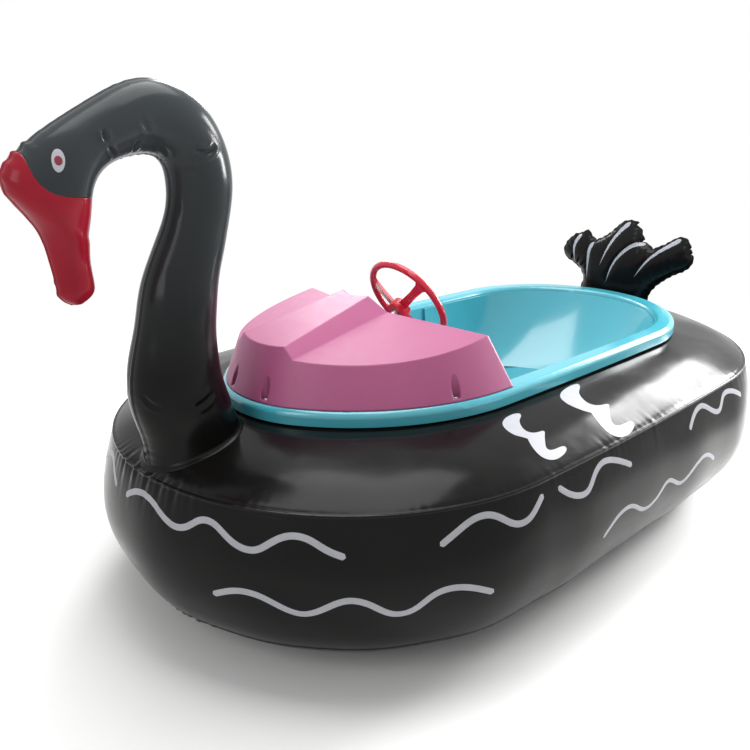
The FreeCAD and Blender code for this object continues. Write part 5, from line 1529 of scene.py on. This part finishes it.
# %% [markdown]
# ## Gel-coated cockpit
#
# The cockpit is glass fibre with a gel coat, a pigmented polyester resin
# sprayed into a polished mould. The eye gets a deep even gloss with a slight
# orange peel, and a chalky bloom where sun and feet have been.

# %% Gel-coated glass fibre
gelcoat, tree, place = new_material("gelcoated_glass_fibre")
colour_shift = add(tree, "ShaderNodeTexNoise", {"Vector": place, "Scale": per_metre(220), "Detail": 3.0})
tint = add(tree, "ShaderNodeMix", {
    "Factor": colour_shift.outputs["Fac"], "A": colour("#46A6B5"), "B": colour("#3F9CAC"),
}, data_type="RGBA")
scuffs = add(tree, "ShaderNodeTexNoise", {"Vector": place, "Scale": per_metre(14), "Detail": 6.0})
gloss = add(tree, "ShaderNodeMapRange", {
    "Value": scuffs.outputs["Fac"], "To Min": 0.12, "To Max": 0.28,
})
peel = add(tree, "ShaderNodeTexNoise", {"Vector": place, "Scale": per_metre(4), "Detail": 2.0})
dimpled = add(tree, "ShaderNodeBump", {
    "Height": peel.outputs["Fac"], "Distance": 0.1 * MM, "Strength": 0.25,
})
shader = add(tree, "ShaderNodeBsdfPrincipled", {
    "Base Color": tint.outputs["Result"], "Roughness": gloss.outputs["Result"],
    "Normal": dimpled.outputs["Normal"], "IOR": 1.55, "Coat Weight": 0.3, "Coat Roughness": 0.06,
})
add(tree, "ShaderNodeOutputMaterial", {"Surface": shader.outputs["BSDF"]})
print("cockpit finish:", gelcoat.name)

# %% [markdown]
# ## Moulded hood
#
# The hood is polyethylene, rotomoulded: powder is turned in a hot mould
# until it lines it. That leaves soft corners, a waxy satin surface and a
# colour that has faded a little in the sun.
#
# No edge of such a moulding is sharp, because the powder can't fill a sharp
# corner. The Bevel node turns the shading round each edge by that radius,
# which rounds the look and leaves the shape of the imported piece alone.

# %% Rotomoulded polyethylene
HOOD_EDGE_RADIUS = 6 * MM

hood_plastic, tree, place = new_material("rotomoulded_polyethylene")
faded = add(tree, "ShaderNodeTexNoise", {"Vector": place, "Scale": per_metre(160), "Detail": 2.0})
tint = add(tree, "ShaderNodeMix", {
    "Factor": faded.outputs["Fac"], "A": colour("#A8567F"), "B": colour("#9C4D75"),
}, data_type="RGBA")
rubbed = add(tree, "ShaderNodeTexNoise", {"Vector": place, "Scale": per_metre(30), "Detail": 3.0})
gloss = add(tree, "ShaderNodeMapRange", {
    "Value": rubbed.outputs["Fac"], "To Min": 0.34, "To Max": 0.5,
})
ripple = add(tree, "ShaderNodeTexNoise", {"Vector": place, "Scale": per_metre(55), "Detail": 1.0})
rounded = add(tree, "ShaderNodeBevel", {"Radius": HOOD_EDGE_RADIUS}, samples=8)
uneven = add(tree, "ShaderNodeBump", {
    "Height": ripple.outputs["Fac"], "Distance": 0.8 * MM, "Strength": 0.25,
    "Normal": rounded.outputs["Normal"],
})
shader = add(tree, "ShaderNodeBsdfPrincipled", {
    "Base Color": tint.outputs["Result"], "Roughness": gloss.outputs["Result"],
    "Normal": uneven.outputs["Normal"], "IOR": 1.51, "Specular IOR Level": 0.4,
})
add(tree, "ShaderNodeOutputMaterial", {"Surface": shader.outputs["BSDF"]})
print("hood finish:", hood_plastic.name)

# %% [markdown]
# ## Wheel, button and pedal
#
# These are ABS, injection moulded in steel tools. The wheel and button come
# from polished tools and shine, with hairline scratches from hands. The
# pedal and its bracket, the battery's case, the drain plug, and the motor
# pod with its propeller and guard come from etched tools, which print a fine
# leathery grain that hides wear and kills the shine.

# %% Injection-moulded ABS
def polished_abs(name, fresh, handled):
    """ABS from a polished tool."""
    material, tree, place = new_material(name)
    hands = add(tree, "ShaderNodeTexNoise", {"Vector": place, "Scale": per_metre(60), "Detail": 2.0})
    tint = add(tree, "ShaderNodeMix", {
        "Factor": hands.outputs["Fac"], "A": colour(fresh), "B": colour(handled),
    }, data_type="RGBA")
    # Hairlines are a hundredth of a millimetre, drawn at 2 mm so that they show
    hairlines = add(tree, "ShaderNodeTexNoise", {
        "Vector": place, "Scale": per_metre(2), "Detail": 6.0,
    })
    gloss = add(tree, "ShaderNodeMapRange", {
        "Value": hairlines.outputs["Fac"], "To Min": 0.1, "To Max": 0.24,
    })
    wavy = add(tree, "ShaderNodeBump", {
        "Height": hands.outputs["Fac"], "Distance": 0.2 * MM, "Strength": 0.2,
    })
    shader = add(tree, "ShaderNodeBsdfPrincipled", {
        "Base Color": tint.outputs["Result"], "Roughness": gloss.outputs["Result"],
        "Normal": wavy.outputs["Normal"], "IOR": 1.53,
    })
    add(tree, "ShaderNodeOutputMaterial", {"Surface": shader.outputs["BSDF"]})
    return material


def grained_plastic(name, fresh, dusty, grain_mm, ior):
    """Plastic from an etched tool, with dust in its grain."""
    material, tree, place = new_material(name)
    dust = add(tree, "ShaderNodeTexNoise", {"Vector": place, "Scale": per_metre(45), "Detail": 3.0})
    tint = add(tree, "ShaderNodeMix", {
        "Factor": dust.outputs["Fac"], "A": colour(fresh), "B": colour(dusty),
    }, data_type="RGBA")
    grain = add(tree, "ShaderNodeTexVoronoi", {"Vector": place, "Scale": per_metre(grain_mm)})
    gloss = add(tree, "ShaderNodeMapRange", {
        "Value": grain.outputs["Distance"], "To Min": 0.38, "To Max": 0.6,
    })
    pebbled = add(tree, "ShaderNodeBump", {
        "Height": grain.outputs["Distance"], "Distance": 0.08 * MM, "Strength": 0.5,
    })
    shader = add(tree, "ShaderNodeBsdfPrincipled", {
        "Base Color": tint.outputs["Result"], "Roughness": gloss.outputs["Result"],
        "Normal": pebbled.outputs["Normal"], "IOR": ior,
    })
    add(tree, "ShaderNodeOutputMaterial", {"Surface": shader.outputs["BSDF"]})
    return material


wheel_abs = polished_abs("red_polished_abs", "#C4122F", "#B50F2B")
button_abs = polished_abs("green_polished_abs", "#1E8A45", "#1A7D3E")
# The grain is 0.5 mm on the tool, drawn at 1.2 mm so that it shows close up
black_abs = grained_plastic("black_grained_abs", "#26262A", "#2E2E32", 1.2, 1.53)
print("moulded ABS:", wheel_abs.name, button_abs.name, black_abs.name)

# %% [markdown]
# ## Small mouldings
#
# The bearing bushes and the thrust washer are natural nylon, cream and waxy.
# The air valves and their caps are soft TPU, a rubbery plastic that can be
# welded to the film. The shaft seal is nitrile rubber, dead black and dull.
# All are moulded with a faint grain, so the recipe above fits them, with
# their own colours and refraction.

# %% Nylon, TPU and rubber
bush_nylon = grained_plastic("natural_moulded_nylon", "#DAD8CF", "#CFCCC0", 1.0, 1.53)
valve_tpu = grained_plastic("black_moulded_tpu", "#2B2B2D", "#343436", 1.4, 1.5)
seal_rubber = grained_plastic("black_nitrile_rubber", "#1A1A1A", "#232322", 0.8, 1.52)
print("small mouldings:", bush_nylon.name, valve_tpu.name, seal_rubber.name)

# %% [markdown]
# ## Metals
#
# Four metals work in the boat: zinc-plated steel for the screws, shafts and
# small fittings, cut gear steel for the bevel wheels, sand-cast aluminium
# for the column's bracket, the bearing housing and the controller's case,
# and lead for the battery posts. A metal has no colour under its shine, so
# what tells them apart is how broken up that shine is: fine turning marks, a
# sandy skin, or a soft dull bloom.

# %% Metals
def worked_metal(name, bright, dull, roughness, grain_mm, depth_mm):
    """Metal with its bright and dulled colours and its surface grain."""
    material, tree, place = new_material(name)
    tarnish = add(tree, "ShaderNodeTexNoise", {"Vector": place, "Scale": per_metre(30), "Detail": 3.0})
    tint = add(tree, "ShaderNodeMix", {
        "Factor": tarnish.outputs["Fac"], "A": colour(bright), "B": colour(dull),
    }, data_type="RGBA")
    grain = add(tree, "ShaderNodeTexNoise", {
        "Vector": place, "Scale": per_metre(grain_mm), "Detail": 4.0,
    })
    gloss = add(tree, "ShaderNodeMapRange", {
        "Value": grain.outputs["Fac"], "To Min": roughness * 0.7, "To Max": roughness * 1.3,
    })
    marks = add(tree, "ShaderNodeBump", {
        "Height": grain.outputs["Fac"], "Distance": depth_mm * MM, "Strength": 0.5,
    })
    shader = add(tree, "ShaderNodeBsdfPrincipled", {
        "Base Color": tint.outputs["Result"], "Roughness": gloss.outputs["Result"],
        "Normal": marks.outputs["Normal"], "Metallic": 1.0,
    })
    add(tree, "ShaderNodeOutputMaterial", {"Surface": shader.outputs["BSDF"]})
    return material


# Zinc: bluish white, from the plating bath's own small crystals
plated_steel = worked_metal("zinc_plated_steel", "#BDC0C4", "#A5A8AC", 0.30, 1.2, 0.03)
# Cut steel: darker and keener, with tool marks
gear_steel = worked_metal("machined_gear_steel", "#7C7D80", "#6B6C6F", 0.32, 0.8, 0.04)
# Cast aluminium: pale, rough as the sand that it was poured in
cast_aluminium = worked_metal("sand_cast_aluminium", "#B0B2B4", "#979A9D", 0.45, 1.8, 0.12)
# Lead: grey and soft, with a matt bloom
cast_lead = worked_metal("cast_lead", "#8A8B90", "#77787C", 0.52, 1.5, 0.06)
print("metals:", plated_steel.name, gear_steel.name, cast_aluminium.name, cast_lead.name)

# %% [markdown]
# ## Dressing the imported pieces
#
# The rigid pieces keep the shapes they were packed with. The record says
# which finish each one takes, so one table from slot to material dresses
# them all and leaves none out.

# %% Finish by slot
FINISHES = {
    "hull_plastic": gelcoat,
    "hood_plastic": hood_plastic,
    "wheel_plastic": wheel_abs,
    "button_plastic": button_abs,
    "black_plastic": black_abs,
    "pedal_plastic": black_abs,
    "valve_plastic": valve_tpu,
    "nylon": bush_nylon,
    "steel": plated_steel,
    "gear_metal": gear_steel,
    "cast_metal": cast_aluminium,
    "lead": cast_lead,
    "rubber": seal_rubber,
    "black_pvc": black_film,
    "red_pvc": red_film,
}
for part in frame["record"]["subparts"]:
    node = frame["nodes"][part["node"]]
    node.data.materials.clear()
    node.data.materials.append(FINISHES[part["material_slot"]])
